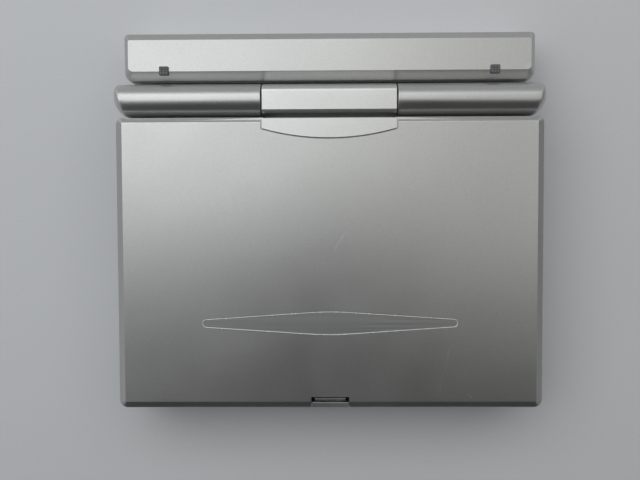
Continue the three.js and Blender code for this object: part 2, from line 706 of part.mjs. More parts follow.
function navRing() {
  const { x, fromFront, ringInner, ringOuter } = NAV;
  const profile = [
    [ringInner, KEY.flange],
    [ringOuter + KEY.lip, KEY.flange],
    [ringOuter + KEY.lip, KEY.shoulder],
    [ringOuter, KEY.shoulder],
    [ringOuter, KEY.top],
    [ringInner, KEY.top],
    [ringInner, KEY.flange],
  ];
  return turnedUpright(profile, x, fromFront, 28);
}

function enterButton() {
  const { x, fromFront, enter, enterLip } = NAV;
  const lipTop = KEY.flange - 0.9;
  const lipBottom = lipTop - 1.2;
  const profile = [
    [0, KEY.foot],
    [KEY.stem, KEY.foot],
    [KEY.stem, lipBottom],
    [enterLip, lipBottom],
    [enterLip, lipTop],
    [enter, lipTop],
    [enter, KEY.top],
    [0, KEY.top],
  ];
  return turnedUpright(profile, x, fromFront, 24);
}

// ---------------------------------------------------------------- feet, screws and the battery release

const foot = (side, fromFront) => post(side * FOOT.x, fromFront, 0, FOOT.height, FOOT.radius, 20);

function caseScrew([x, fromFront]) {
  const headTop = BASE.bottom + 1.7;
  const head = post(x, fromFront, BASE.bottom + 0.4, headTop, SCREW.head, 12);
  return head.add(post(x, fromFront, headTop - 0.1, SCREW.end, SCREW.shank, 10));
}

function batteryRelease() {
  const { x, fromFront: y, half, depthHalf, skirt, skirtDepthHalf } = RELEASE;
  const thumb = block(x - half, x + half, y - depthHalf, y + depthHalf, BASE.bottom + 0.2, LEG_FOOT + 0.2);
  const sliderTop = LEG_FOOT + 1.2;
  const slider = block(x - skirt, x + skirt, y - skirtDepthHalf, y + skirtDepthHalf, LEG_FOOT, sliderTop);
  return thumb.add(slider);
}

// ---------------------------------------------------------------- lid

function lidLoop(inset, rearInset = inset) {
  const x = LID.halfWidth - inset;
  const frontRadius = Math.max(LID_RADIUS.front - inset, 0.6);
  const rearRadius = Math.max(LID_RADIUS.rear - rearInset, 0.6);
  return roundedLoop(-x, x, inset, LID.depth - rearInset, frontRadius, rearRadius);
}

// The badge is a long flat diamond: wide arcs round its middle corners, and small ones round its tips.
function badgeOutline(margin) {
  const tip = BADGE.tipRadius + margin;
  const middle = BADGE.halfHeight + margin;
  const reach = BADGE.halfLength - BADGE.tipRadius;
  const slope = Math.atan((middle - tip) / (reach - BADGE.apexHalf / 2));
  const radius = BADGE.apexHalf / Math.sin(slope);
  const y = BADGE.fromFront;
  const quarter = Math.PI / 2;
  const diamond = new THREE.Shape();
  diamond.absarc(0, y + middle - radius, radius, quarter - slope, quarter + slope, false);
  diamond.absarc(-reach, y, tip, quarter + slope, 3 * quarter - slope, false);
  diamond.absarc(0, y - middle + radius, radius, 3 * quarter - slope, 3 * quarter + slope, false);
  diamond.absarc(reach, y, tip, -quarter + slope, quarter - slope, false);
  return diamond;
}

function lidCover() {
  const { width, rearWidth, height } = LID_CHAMFER;
  const shell = cut(
    stacked([
      [LID_SEAM, lidLoop(0)],
      [LID.top - height, lidLoop(0)],
      [LID.top, lidLoop(width, rearWidth)],
    ]),
    slab(lidLoop(LID.wall), LID_SEAM - 1, LID_ROOF),
  );
  const { halfWidth, blockHalf, depth, blockDepth } = NOTCH;
  const latchBlock = block(-blockHalf, blockHalf, 1, blockDepth, LID_SEAM, LID_ROOF + 0.5);
  const notch = block(-halfWidth, halfWidth, -1, depth, LID_SEAM - 1, LID.top + 1);
  const { front, rear, top } = SPRING_POCKET;
  const springPocket = block(-halfWidth, halfWidth, front, rear, LID_SEAM - 1, top);
  const badgeRecess = raised(badgeOutline(GAP), LID.top - BADGE.recess, LID.top + 1, 16);
  const shieldPocket = raised(shieldOutline(SHIELD_GAP), SHIELD.bottom - GAP, LID.top + 1, 10);
  const neckHalf = NECK.half + NECK.clearance;
  const neckTop = HINGE.z + NECK.rise + NECK.clearance;
  const neckOpening = block(-neckHalf, neckHalf, LID.depth - 2.3, LID.depth + 1, LID_SEAM - 1, neckTop);
  return cut(shell.add(latchBlock), notch, springPocket, badgeRecess, shieldPocket, neckOpening);
}

function lidBezel() {
  const lipInset = LID.wall + GAP;
  const plate = stacked([
    [LID.bottom, lidLoop(0.8)],
    [LID.bottom + 0.8, lidLoop(0)],
    [LID.split, lidLoop(0)],
  ]);
  const lip = cut(
    slab(lidLoop(lipInset), LID.split - 0.2, LID.split + 1.5),
    slab(lidLoop(lipInset + 1.1), LID.split - 1, LID.split + 2),
    block(-NOTCH.blockHalf - 0.5, NOTCH.blockHalf + 0.5, 0, NOTCH.blockDepth + 2, LID.split, LID.split + 2),
  );
  const below = LID.bottom - 1;
  const above = LID.split + 1;
  const window = block(-SCREEN.halfWidth, SCREEN.halfWidth, SCREEN.front, SCREEN.rear, below, above);
  const slots = [];
  for (const x of [-SPEAKER_SLOT.x, SPEAKER_SLOT.x]) {
    for (let i = 0; i < SPEAKER_SLOT.count; i++) {
      const y = SPEAKER_SLOT.first + SPEAKER_SLOT.pitch * i;
      const rear = y + SPEAKER_SLOT.width;
      slots.push(block(x - SPEAKER_SLOT.half, x + SPEAKER_SLOT.half, y, rear, below, above));
    }
  }
  const neckHalf = NECK.half + NECK.clearance;
  const neckNotch = block(-neckHalf, neckHalf, NECK.front - NECK.clearance, LID.depth + 1, below, above + 1);
  const hookHole = block(-HOOK.half - 0.6, HOOK.half + 0.6, 3, 5.7, below, above);
  return cut(plate.add(lip), window, ...slots, neckNotch, hookHole);
}

const lcdPanel = () => block(-PANEL.halfWidth, PANEL.halfWidth, PANEL.front, PANEL.rear, LID_SEAM, PANEL.top);
const speaker = () => block(SPEAKER.inner, SPEAKER.outer, SPEAKER.front, SPEAKER.rear, LID_SEAM, SPEAKER.top);

function lcdBacklight() {
  const { halfWidth, front, rear, bottom, top } = BACKLIGHT;
  return block(-halfWidth, halfWidth, front, rear, bottom, top);
}

function inverterBoard() {
  const { left, right, front, rear, bottom, top } = INVERTER;
  const transformer = block(left + 21, left + 35, front + 1, rear - 1, top - 0.1, top + 4);
  return block(left, right, front, rear, bottom, top).add(transformer);
}

const hingeShield = () => raised(shieldOutline(0), SHIELD.bottom, SHIELD.top, 10);

function badgeInlay() {
  const bottom = LID.top - BADGE.recess + GAP;
  return raised(badgeOutline(0), bottom, bottom + BADGE.thickness, 16);
}

// ---------------------------------------------------------------- latch

// The press plate in the lid's front edge, a rib behind it, and the hook that reaches into the base.
function latchButton() {
  const { half, front, rear, top, ribHalf, ribFront, ribRear, webTop } = LATCH;
  const bottom = LID_SEAM + 0.5;
  const plate = block(-half, half, front, rear, bottom, top);
  const web = block(-ribHalf, ribHalf, rear - 0.05, ribRear, bottom, webTop);
  const rib = block(-ribHalf, ribHalf, ribFront, ribRear, webTop - 0.1, top - 0.3);
  const stem = block(-HOOK.half, HOOK.half, ribFront, ribRear, HOOK.bottom, bottom + 0.1);
  const barb = block(-HOOK.half, HOOK.half, HOOK.front, ribFront + 0.1, HOOK.bottom, HOOK.bottom + HOOK.barb);
  return join(plate, web, rib, stem, barb);
}

// A bowed leaf whose middle faces the latch.
function latchSpring() {
  const leaf = new THREE.Shape();
  leaf.moveTo(-7, 8.2);
  leaf.quadraticCurveTo(0, 3.4, 7, 8.2);
  leaf.lineTo(6.6, 8.4);
  leaf.quadraticCurveTo(0, 3.9, -6.6, 8.4);
  return raised(leaf, LID_SEAM + 0.6, 27.6, 10);
}

// ---------------------------------------------------------------- battery pack

function packLoop(sideInset, frontInset, rearInset, frontRadius, rearRadius) {
  const { halfWidth, front, rear } = PACK;
  const x = halfWidth - sideInset;
  return roundedLoop(-x, x, front + frontInset, rear - rearInset, frontRadius, rearRadius);
}

function batteryUpperShell() {
  const { wall, top } = PACK;
  const seam = PACK.split + GAP;
  const walls = packLoop(0, 0, 0, PACK_RADIUS.front, PACK_RADIUS.rear);
  const outside = stacked([
    [seam, walls],
    [top - 3.2, walls],
    [top - 1.7, packLoop(0.9, 1.9, 1.2, 3.6, 1.5)],
    [top, packLoop(2.25, BUMPER.crease, 3.2, 2.4, 1)],
  ]);
  const inside = stacked([
    [seam - 1, packLoop(wall, wall, wall, 3, 0.6)],
    [top - 3.8, packLoop(wall, wall, wall, 3, 0.6)],
    [top - wall, packLoop(wall + 2, wall + 4.4, wall + 2.6, 1.5, 0.6)],
  ]);
  return outside.subtract(inside);
}

function batteryLowerShell() {
  const { wall, bottom, split } = PACK;
  const walls = packLoop(0, 0, 0, PACK_RADIUS.front, PACK_RADIUS.rear);
  const outside = stacked([
    [bottom, packLoop(1.5, 1.5, 1.5, 3, 1)],
    [bottom + 1.5, walls],
    [split, walls],
  ]);
  const inside = stacked([
    [bottom + wall, packLoop(wall + 1, wall + 1, wall + 1, 2, 0.6)],
    [bottom + wall + 1, packLoop(wall, wall, wall, 3, 0.6)],
    [split + 1, packLoop(wall, wall, wall, 3, 0.6)],
  ]);
  const hooks = [-1, 1].map((side) => {
    const x = side * PACK_HOOK.x;
    const half = PACK_HOOK.halfWidth;
    return block(x - half, x + half, PACK_HOOK.front, PACK.front + 0.5, PACK_HOOK.bottom, PACK_HOOK.top);
  });
  return join(outside.subtract(inside), ...hooks);
}

const batteryCell = () => rod(1, 1 + CELL.length, CELL.fromFront, CELL.z, CELL.radius, 24);

function batteryBoard() {
  const { left, right, front, rear, bottom, top } = PACK_BOARD;
  return block(left, right, front, rear, bottom, top);
}

// A small pad that sits on the flat of the pack and laps over the crease to its front slope.
function bumper() {
  const { front, rear, proud } = BUMPER;
  const crease = PACK.front + BUMPER.crease;
  const top = PACK.top + proud;
  const slope = 1.7 / 2.8;
  const section = outline([
    [rear, PACK.top + GAP],
    [rear, top - 0.3],
    [rear - 0.3, top],
    [front + 0.3, top],
    [front, top - 0.3],
    [front, PACK.top + GAP - (crease - front) * slope],
    [crease, PACK.top + GAP],
  ]);
  return alongX(section, BUMPER.x - BUMPER.halfWidth, BUMPER.x + BUMPER.halfWidth);
}

// ---------------------------------------------------------------- the whole object

const base = assembly(
  piece("base_lower_shell", baseLowerShell(), SILVER),
  piece("base_upper_shell", baseUpperShell(), SILVER),
  piece("hinge_barrel_right", hingeBarrel(), SILVER),
  leftTwin("hinge_barrel_left", hingeBarrel(), SILVER),
  piece("friction_sleeve_right", frictionSleeve(), STEEL),
  leftTwin("friction_sleeve_left", frictionSleeve(), STEEL),
  piece("main_board", mainBoard(), CIRCUIT_BOARD),
  piece("dc_jack", dcJack(), DARK_PLASTIC),
  piece("foot_front_left", foot(-1, FOOT.front), BLACK_RUBBER),
  piece("foot_front_right", foot(1, FOOT.front), BLACK_RUBBER),
  piece("foot_rear_left", foot(-1, FOOT.rear), BLACK_RUBBER),
  piece("foot_rear_right", foot(1, FOOT.rear), BLACK_RUBBER),
  piece("battery_release", batteryRelease(), GREY_PLASTIC),
);
for (const [name, fromFront] of Object.entries(JACKS)) {
  base.add(piece(name, audioJack(fromFront), DARK_PLASTIC));
}
for (const [name, place] of Object.entries(CASE_SCREWS)) {
  base.add(piece(name, caseScrew(place), STEEL));
}

const drive = assembly(
  piece("disc_well", discWell(), DARK_PLASTIC),
  piece("drive_chassis", driveChassis(), STEEL),
  piece("spindle_motor", spindleMotor(), STEEL),
  piece("spindle_hub", spindleHub(), DARK_PLASTIC),
  piece("guide_rod_front", guideRod(-ROD.offset), STEEL),
  piece("guide_rod_rear", guideRod(ROD.offset), STEEL),
  piece("optical_sled", opticalSled(), DARK_PLASTIC),
  piece("objective_lens", objectiveLens(), LENS_GLASS),
  piece("lead_screw", leadScrew(), STEEL),
  piece("sled_motor", sledMotor(), STEEL),
  piece("disc_door", discDoor(), SILVER),
);

const controls = assembly(
  piece("volume_wheel", volumeWheel(), DARK_PLASTIC),
  piece("power_switch", powerSwitch(), GREY_PLASTIC),
  piece("nav_ring", navRing(), SILVER),
  piece("enter_button", enterButton(), GREY_PLASTIC),
);
for (const [name, key] of Object.entries(KEYS)) controls.add(piece(name, pushKey(key), GREY_PLASTIC));

const lid = assembly(
  piece("lid_cover", lidCover(), SILVER),
  piece("lid_bezel", lidBezel(), DARK_PLASTIC),
  piece("lcd_panel", lcdPanel(), SCREEN_GLASS),
  piece("lcd_backlight", lcdBacklight(), STEEL),
  piece("speaker_right", speaker(), DARK_PLASTIC),
  leftTwin("speaker_left", speaker(), DARK_PLASTIC),
  piece("hinge_centre_housing", hingeCentreHousing(), SILVER),
  piece("hinge_shield", hingeShield(), SILVER),
  piece("hinge_pin_right", hingePin(), STEEL),
  leftTwin("hinge_pin_left", hingePin(), STEEL),
  piece("lid_hinge_bracket", lidHingeBracket(), STEEL),
  piece("badge_inlay", badgeInlay(), BRUSHED),
  piece("inverter_board", inverterBoard(), CIRCUIT_BOARD),
  piece("latch_button", latchButton(), SILVER),
  piece("latch_spring", latchSpring(), STEEL),
);

const battery = assembly(
  piece("battery_upper_shell", batteryUpperShell(), SILVER),
  piece("battery_lower_shell", batteryLowerShell(), SILVER),
  piece("battery_cell_right", batteryCell(), CELL_WRAP),
  leftTwin("battery_cell_left", batteryCell(), CELL_WRAP),
  piece("battery_board", batteryBoard(), CIRCUIT_BOARD),
  piece("bumper_right", bumper(), GREY_RUBBER),
  leftTwin("bumper_left", bumper(), GREY_RUBBER),
);

export default assembly(base, drive, controls, lid, battery);
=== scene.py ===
"""The finished look of a portable DVD player, folded shut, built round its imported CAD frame."""

import json
import math

import bmesh
import bpy
from mathutils import Matrix, Vector


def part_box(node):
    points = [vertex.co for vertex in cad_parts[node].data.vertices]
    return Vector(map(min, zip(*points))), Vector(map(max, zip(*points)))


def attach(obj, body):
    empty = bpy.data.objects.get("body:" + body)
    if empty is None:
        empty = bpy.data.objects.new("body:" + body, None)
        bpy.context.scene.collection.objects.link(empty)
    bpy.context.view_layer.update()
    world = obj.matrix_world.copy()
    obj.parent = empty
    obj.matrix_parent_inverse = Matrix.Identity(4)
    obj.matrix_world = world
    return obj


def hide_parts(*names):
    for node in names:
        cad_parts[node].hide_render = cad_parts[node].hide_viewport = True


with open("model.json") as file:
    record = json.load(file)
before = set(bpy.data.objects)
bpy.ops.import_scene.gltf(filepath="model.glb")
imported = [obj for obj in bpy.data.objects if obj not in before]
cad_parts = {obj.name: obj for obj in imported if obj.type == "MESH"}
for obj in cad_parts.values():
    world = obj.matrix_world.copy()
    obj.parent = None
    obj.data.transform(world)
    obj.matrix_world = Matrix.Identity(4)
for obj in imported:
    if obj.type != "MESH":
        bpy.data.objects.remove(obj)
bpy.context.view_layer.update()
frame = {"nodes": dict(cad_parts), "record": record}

MM = 0.001  # meshes are drawn in millimetres and scaled to metres when they are finished
CORNER = 10  # facets in a quarter round

JOINTS = {joint["name"]: joint for joint in frame["record"]["behaviour"]["joints"]}
BODY_OF = {
    node: body for body, nodes in frame["record"]["behaviour"]["bodies"].items() for node in nodes
}
SLOT_OF = {part["node"]: part["material_slot"] for part in frame["record"]["subparts"]}


def mm_box(node):
    """The CAD node's lowest and highest corners in millimetres."""
    low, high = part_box(node)
    return Vector(low) / MM, Vector(high) / MM


def middle_of(node):
    """The centre of the CAD node's box in millimetres."""
    return sum(mm_box(node), Vector()) / 2


def joint_place(name):
    return Vector(JOINTS[name]["pos_m"]) / MM


LID_LOW, LID_HIGH = mm_box("lid_cover")
BASE_LOW, BASE_HIGH = mm_box("base_upper_shell")
HINGE = joint_place("lid_hinge")
SPINDLE = joint_place("spindle_spin")
FRONT = LID_LOW.y  # the lid's front edge
SEAM = LID_LOW.z  # where the lid's cover meets its bezel
LID_WALL = 1.8
BASE_WALL = 2.0
DECK_UNDERSIDE = BASE_HIGH.z - BASE_WALL
DECK_HOLE = (DECK_UNDERSIDE - 1, BASE_HIGH.z + 1)  # heights of a cut that goes through the deck
SIDE_HOLE = (BASE_HIGH.x - BASE_WALL - 1, BASE_HIGH.x + 1)  # X of a cut through the right wall
NECK_HALF = 29  # half the width of the hinge housing's neck
HOOK = {"x": 60, "half": 3, "bottom": 4.6, "top": 6.8}  # the battery pack's two hooks
HOOK_GAP = 0.5


# ---- camera, light and floor


def add_camera():
    data = bpy.data.cameras.new("camera")
    data.sensor_width = 36
    data.lens = 40.5
    data.clip_start = 0.01
    camera = bpy.data.objects.new("camera", data)
    camera.location = (-0.0003, 0.0046, 0.3573)
    camera.rotation_euler = [math.radians(angle) for angle in (-2.41, 0.71, -0.22)]
    bpy.context.collection.objects.link(camera)
    bpy.context.scene.camera = camera


CEILING = 0.9  # height of the light panels above the floor
BACKDROP = 0.42  # what the camera sees of the room beyond the floor
FLOOR_HALF = 1.6


def add_panel(name, x0, x1, y0, y1, radiance, color):
    """A soft light panel that faces straight down from the ceiling."""
    data = bpy.data.lights.new(name, "AREA")
    data.shape = "RECTANGLE"
    data.size = x1 - x0
    data.size_y = y1 - y0
    data.energy = radiance * math.pi * data.size * data.size_y
    data.color = color
    light = bpy.data.objects.new(name, data)
    light.location = ((x0 + x1) / 2, (y0 + y1) / 2, CEILING)
    bpy.context.collection.objects.link(light)


def add_lights():
    """Panels above and behind the object, brighter on the left, with a darker notch over the middle."""
    add_panel("rear_left", -1.1, -0.08, -0.03, 1.0, 1.42, (0.965, 0.995, 1.0))
    add_panel("rear_middle", -0.08, 0.14, 0.02, 1.0, 1.14, (0.98, 1.0, 0.99))
    add_panel("rear_right", 0.14, 1.1, -0.13, 1.0, 0.64, (1.0, 0.995, 0.965))
    add_panel("front_left", -1.1, -0.22, -0.35, -0.03, 0.22, (0.96, 1.0, 0.97))
    add_panel("front_right", 0.32, 1.1, -0.30, -0.13, 0.12, (1.0, 1.0, 0.95))


def add_room():
    """Room light behind, at the sides and a little in front, and none overhead; the backdrop is plain."""
    world = bpy.data.worlds.new("room")
    world.use_nodes = True
    nodes = world.node_tree.nodes
    links = world.node_tree.links
    direction = nodes.new("ShaderNodeSeparateXYZ")
    links.new(nodes.new("ShaderNodeTexCoord").outputs["Generated"], direction.inputs[0])

    def ramp(axis, start, end, strength):
        node = nodes.new("ShaderNodeMapRange")
        node.interpolation_type = "SMOOTHSTEP"
        for name, value in zip(RANGE_SOCKETS, (start, end, 0, strength)):
            node.inputs[name].default_value = value
        links.new(direction.outputs[axis], node.inputs["Value"])
        return node.outputs["Result"]

    def math_node(operation, first, second):
        node = nodes.new("ShaderNodeMath")
        node.operation = operation
        links.new(first, node.inputs[0])
        links.new(second, node.inputs[1])
        return node.outputs[0]

    front = math_node("MULTIPLY", ramp("Y", -0.45, -0.75, 0.04), ramp("Z", 0.2, 0.5, 1))
    total = math_node("ADD", front, ramp("Y", 0.35, 0.7, 0.40))
    for start, end, strength in ((-0.45, -0.8, 0.38), (0.45, 0.8, 0.22)):
        total = math_node("ADD", total, ramp("X", start, end, strength))
    seen = nodes.new("ShaderNodeMix")
    links.new(nodes.new("ShaderNodeLightPath").outputs["Is Camera Ray"], seen.inputs["Factor"])
    links.new(total, seen.inputs["A"])
    seen.inputs["B"].default_value = BACKDROP
    background = nodes["Background"]
    background.inputs["Color"].default_value = (0.97, 0.985, 1.0, 1)
    links.new(seen.outputs["Result"], background.inputs["Strength"])
    bpy.context.scene.world = world


def add_floor():
    half = FLOOR_HALF
    corners = [(x, y, 0) for x, y in rectangle(-half, half, -half, half)]
    floor = build("floor", corners, [(0, 1, 2, 3)])
    paint = Paint("floor_card", (0.78, 0.79, 0.81), 0, 0.7)
    grain = paint.noise(900, 3)
    paint.tint(grain, 0.02)
    paint.bump(grain, 0.05)
    floor.data.materials.append(paint.material)


# ---- materials


RANGE_SOCKETS = ("From Min", "From Max", "To Min", "To Max")


class Paint:
    """A principled material with helpers that vary its colour, roughness and surface by nodes."""

    def __init__(self, name, color, metallic, roughness):
        self.material = bpy.data.materials.new(name)
        self.material.use_nodes = True
        self.nodes = self.material.node_tree.nodes
        self.links = self.material.node_tree.links
        self.shader = self.nodes["Principled BSDF"]
        self.shader.inputs["Base Color"].default_value = (*color, 1)
        self.shader.inputs["Metallic"].default_value = metallic
        self.shader.inputs["Roughness"].default_value = roughness
        self.place = self.nodes.new("ShaderNodeTexCoord").outputs["Object"]
        self.color = None
        self.normal = None
        self.base_color = (*color, 1)
        self.base_roughness = roughness

    def set(self, **values):
        for name, value in values.items():
            self.shader.inputs[name.replace("_", " ")].default_value = value

    def math(self, operation, first, second=0.0, clamp=False):
        node = self.nodes.new("ShaderNodeMath")
        node.operation = operation
        node.use_clamp = clamp
        for socket, value in zip(node.inputs, (first, second)):
            if isinstance(value, (int, float)):
                socket.default_value = value
            else:
                self.links.new(value, socket)
        return node.outputs[0]

    def stretched(self, scale):
        """The object's coordinates, stretched by a different factor along each axis."""
        mapping = self.nodes.new("ShaderNodeMapping")
        mapping.inputs["Scale"].default_value = scale
        self.links.new(self.place, mapping.inputs["Vector"])
        return mapping.outputs[0]

    def noise(self, scale, detail=2, roughness=0.5, stretch=None):
        node = self.nodes.new("ShaderNodeTexNoise")
        node.inputs["Scale"].default_value = scale
        node.inputs["Detail"].default_value = detail
        node.inputs["Roughness"].default_value = roughness
        self.links.new(self.stretched(stretch) if stretch else self.place, node.inputs["Vector"])
        return node.outputs["Fac"]

    def cells(self, scale):
        node = self.nodes.new("ShaderNodeTexVoronoi")
        node.inputs["Scale"].default_value = scale
        self.links.new(self.place, node.inputs["Vector"])
        return node.outputs["Color"]

    def remap(self, value, low, high, to_low=0.0, to_high=1.0):
        node = self.nodes.new("ShaderNodeMapRange")
        for name, number in zip(RANGE_SOCKETS, (low, high, to_low, to_high)):
            node.inputs[name].default_value = number
        self.links.new(value, node.inputs["Value"])
        return node.outputs["Result"]

    def recolor(self, node, entry, result):
        """Passes the colour so far through a node."""
        if self.color is None:
            node.inputs[entry].default_value = self.base_color
        else:
            self.links.new(self.color, node.inputs[entry])
        self.color = node.outputs[result]
        self.links.new(self.color, self.shader.inputs["Base Color"])

    def blend_color(self, mask, color):
        """Goes from the colour so far to another one where the mask is 1."""
        node = self.nodes.new("ShaderNodeMix")
        node.data_type = "RGBA"
        node.inputs["B"].default_value = (*color, 1)
        self.links.new(mask, node.inputs["Factor"])
        self.recolor(node, "A", "Result")

    def tint(self, value, amount):
        """Lightens and darkens the colour by a noise value's distance from one half."""
        node = self.nodes.new("ShaderNodeHueSaturation")
        self.links.new(self.around(1, value, amount), node.inputs["Value"])
        self.recolor(node, "Color", "Color")

    def around(self, middle, value, amount):
        """Turns a noise value into numbers on both sides of a middle."""
        return self.remap(value, 0.25, 0.75, middle - amount, middle + amount)

    def rough(self, value, amount):
        self.links.new(self.around(self.base_roughness, value, amount), self.shader.inputs["Roughness"])

    def bump(self, height, strength, depth_mm=0.05):
        node = self.nodes.new("ShaderNodeBump")
        node.inputs["Strength"].default_value = strength
        node.inputs["Distance"].default_value = depth_mm * MM
        self.links.new(height, node.inputs["Height"])
        if self.normal is not None:
            self.links.new(self.normal, node.inputs["Normal"])
        self.normal = node.outputs["Normal"]
        self.links.new(self.normal, self.shader.inputs["Normal"])

    def attribute(self, name):
        node = self.nodes.new("ShaderNodeAttribute")
        node.attribute_name = name
        return node.outputs["Fac"]

    def near_line(self, start, end, width_mm):
        """1 within a width of the line between two points, seen from above, and 0 beyond it."""
        along = (end - start).normalized()
        across = Vector((-along.y, along.x, 0))
        length = (end - start).length
        separate = []
        for direction in (along, across):
            dot = self.nodes.new("ShaderNodeVectorMath")
            dot.operation = "DOT_PRODUCT"
            self.links.new(self.place, dot.inputs[0])
            dot.inputs[1].default_value = direction
            separate.append(self.math("SUBTRACT", dot.outputs["Value"], start.dot(direction)))
        run, offset = separate
        beside = self.remap(self.math("ABSOLUTE", offset), 0, width_mm * MM, 1, 0)
        begun = self.remap(run, 0, length * 0.3)
        unfinished = self.remap(run, length, length * 0.7)
        return self.math("MULTIPLY", beside, self.math("MULTIPLY", begun, unfinished), clamp=True)


def worn_edges(paint, color, share):
    """Rubs the raised edges lighter, in patches."""
    patches = paint.remap(paint.noise(140, 4), 0.45, 0.7)
    mask = paint.math("MULTIPLY", paint.attribute("edge"), patches, clamp=True)
    paint.blend_color(paint.math("MULTIPLY", mask, share), color)


# start, end and width of each light scratch on the lid, seen from above, in millimetres
SCRATCHES = [
    ((1.5, -14.5), (7.5, -4.5), 0.5),
    ((51.5, -69.0), (54.0, -56.0), 0.35),
    ((49.0, -79.5), (51.0, -67.5), 0.35),
    ((61.5, -78.0), (64.5, -81.5), 0.4),
]


def silver_paint(name, tone, scratches=()):
    """Metallic silver paint on plastic: fine flakes, a little orange peel, smudges and light scratches."""
    paint = Paint(name, (tone, tone, tone - 0.007), 0.92, 0.33)
    paint.tint(paint.noise(9, 3), 0.03)
    paint.tint(paint.cells(4200), 0.05)
    worn_edges(paint, (0.72, 0.72, 0.71), 0.5)
    paint.blend_color(paint.attribute("inside"), (0.03, 0.03, 0.032))
    for start, end, width in scratches:
        line = paint.near_line(Vector((*start, 0)) * MM, Vector((*end, 0)) * MM, width)
        broken = paint.math("MULTIPLY", line, paint.remap(paint.noise(700, 2), 0.35, 0.6), clamp=True)
        paint.blend_color(paint.math("MULTIPLY", broken, 0.6), (0.9, 0.9, 0.89))
    paint.rough(paint.noise(30, 4, 0.6), 0.03)
    paint.bump(paint.noise(3200, 2), 0.10, 0.03)
    paint.bump(paint.noise(420, 2), 0.06, 0.05)
    return paint.material


def brushed_badge():
    """Thin aluminium, brushed along its length."""
    paint = Paint("brushed_badge", (0.50, 0.50, 0.505), 0.9, 0.36)
    strokes = paint.noise(260, 4, 0.7, stretch=(0.05, 6, 6))
    paint.tint(strokes, 0.14)
    paint.rough(strokes, 0.05)
    paint.bump(strokes, 0.12, 0.02)
    return paint.material


def painted_highlight_rim():
    # Pale paint, lighter and less metallic than the silver round it: a painted highlight along the badge's
    # edge.
    paint = Paint("painted_highlight_rim", (0.80, 0.80, 0.79), 0.4, 0.25)
    paint.rough(paint.noise(300, 3), 0.06)
    paint.tint(paint.noise(60, 3), 0.04)
    return paint.material


def moulded(name, color, roughness, grain=0.25, metallic=0.0):
    """Injection-moulded plastic with a fine spark-eroded grain."""
    paint = Paint(name, color, metallic, roughness)
    pits = paint.cells(2600)
    paint.tint(paint.noise(40, 3), 0.06)
    paint.rough(paint.noise(60, 4), 0.05)
    paint.bump(pits, grain, 0.02)
    worn_edges(paint, tuple(min(1, value * 1.6 + 0.02) for value in color), 0.4)
    return paint.material


def rubber(name, color):
    paint = Paint(name, color, 0, 0.85)
    paint.tint(paint.noise(500, 4), 0.12)
    paint.bump(paint.noise(1800, 3), 0.35, 0.04)
    paint.set(Specular_IOR_Level=0.3)
    return paint.material


def steel():
    """Rolled steel with fine lines from the rollers."""
    paint = Paint("steel", (0.56, 0.56, 0.57), 1, 0.32)
    lines = paint.noise(300, 3, 0.6, stretch=(0.1, 5, 5))
    paint.tint(lines, 0.08)
    paint.rough(paint.noise(80, 4), 0.08)
    paint.bump(lines, 0.08, 0.02)
    return paint.material


def screen_glass():
    """A dark display under an anti-glare film: a slightly bluer picture area inside a black border."""
    paint = Paint("screen_glass", (0.006, 0.006, 0.008), 0, 0.16)
    low, high = mm_box("lcd_panel")
    border = 2.2
    inside = None
    place = paint.nodes.new("ShaderNodeSeparateXYZ")
    paint.links.new(paint.place, place.inputs[0])
    for axis, start, end in ((0, low.x, high.x), (1, low.y, high.y)):
        for edge, sign in ((start + border, 1), (end - border, -1)):
            step = paint.remap(place.outputs[axis], (edge - sign * 0.1) * MM, (edge + sign * 0.1) * MM)
            inside = step if inside is None else paint.math("MULTIPLY", inside, step)
    paint.blend_color(inside, (0.020, 0.023, 0.030))
    paint.rough(paint.noise(22, 5, 0.65), 0.05)
    paint.bump(paint.noise(2500, 2), 0.04, 0.01)
    paint.set(Coat_Weight=0.3, Coat_Roughness=0.12)
    return paint.material


def lens_glass():
    paint = Paint("lens_glass", (0.10, 0.04, 0.16), 0.2, 0.08)
    paint.tint(paint.noise(900, 2), 0.3)
    paint.set(Coat_Weight=1.0, Coat_Roughness=0.03)
    return paint.material


def circuit_board():
    """Green solder mask with lighter copper tracks under it."""
    paint = Paint("circuit_board", (0.012, 0.09, 0.035), 0, 0.4)
    tracks = paint.remap(paint.noise(260, 0, stretch=(1, 0.08, 1)), 0.52, 0.56)
    paint.blend_color(paint.math("MULTIPLY", tracks, 0.6), (0.03, 0.20, 0.07))
    paint.bump(tracks, 0.3, 0.03)
    return paint.material


def cell_wrap():
    paint = Paint("cell_wrap", (0.03, 0.10, 0.30), 0, 0.3)
    paint.tint(paint.noise(60, 4), 0.15)
    paint.bump(paint.noise(180, 3), 0.15, 0.05)
    return paint.material


def print_ink(name, color):
    paint = Paint(name, color, 0, 0.5)
    paint.tint(paint.noise(2500, 2), 0.08)
    paint.bump(paint.noise(3000, 2), 0.1, 0.01)
    return paint.material


# ---- drawing meshes, in millimetres


def build(name, points, faces):
    mesh = bpy.data.meshes.new(name)
    mesh.from_pydata([tuple(point) for point in points], [], faces)
    obj = bpy.data.objects.new(name, mesh)
    bpy.context.collection.objects.link(obj)
    return obj


def arc(cx, cy, radius, start, end, steps, height=None):
    """Points along an arc, its angles in degrees; a height of its own makes it part of an ellipse."""
    height = radius if height is None else height
    angles = [math.radians(start + (end - start) * step / steps) for step in range(steps + 1)]
    return [(cx + radius * math.cos(angle), cy + height * math.sin(angle)) for angle in angles]


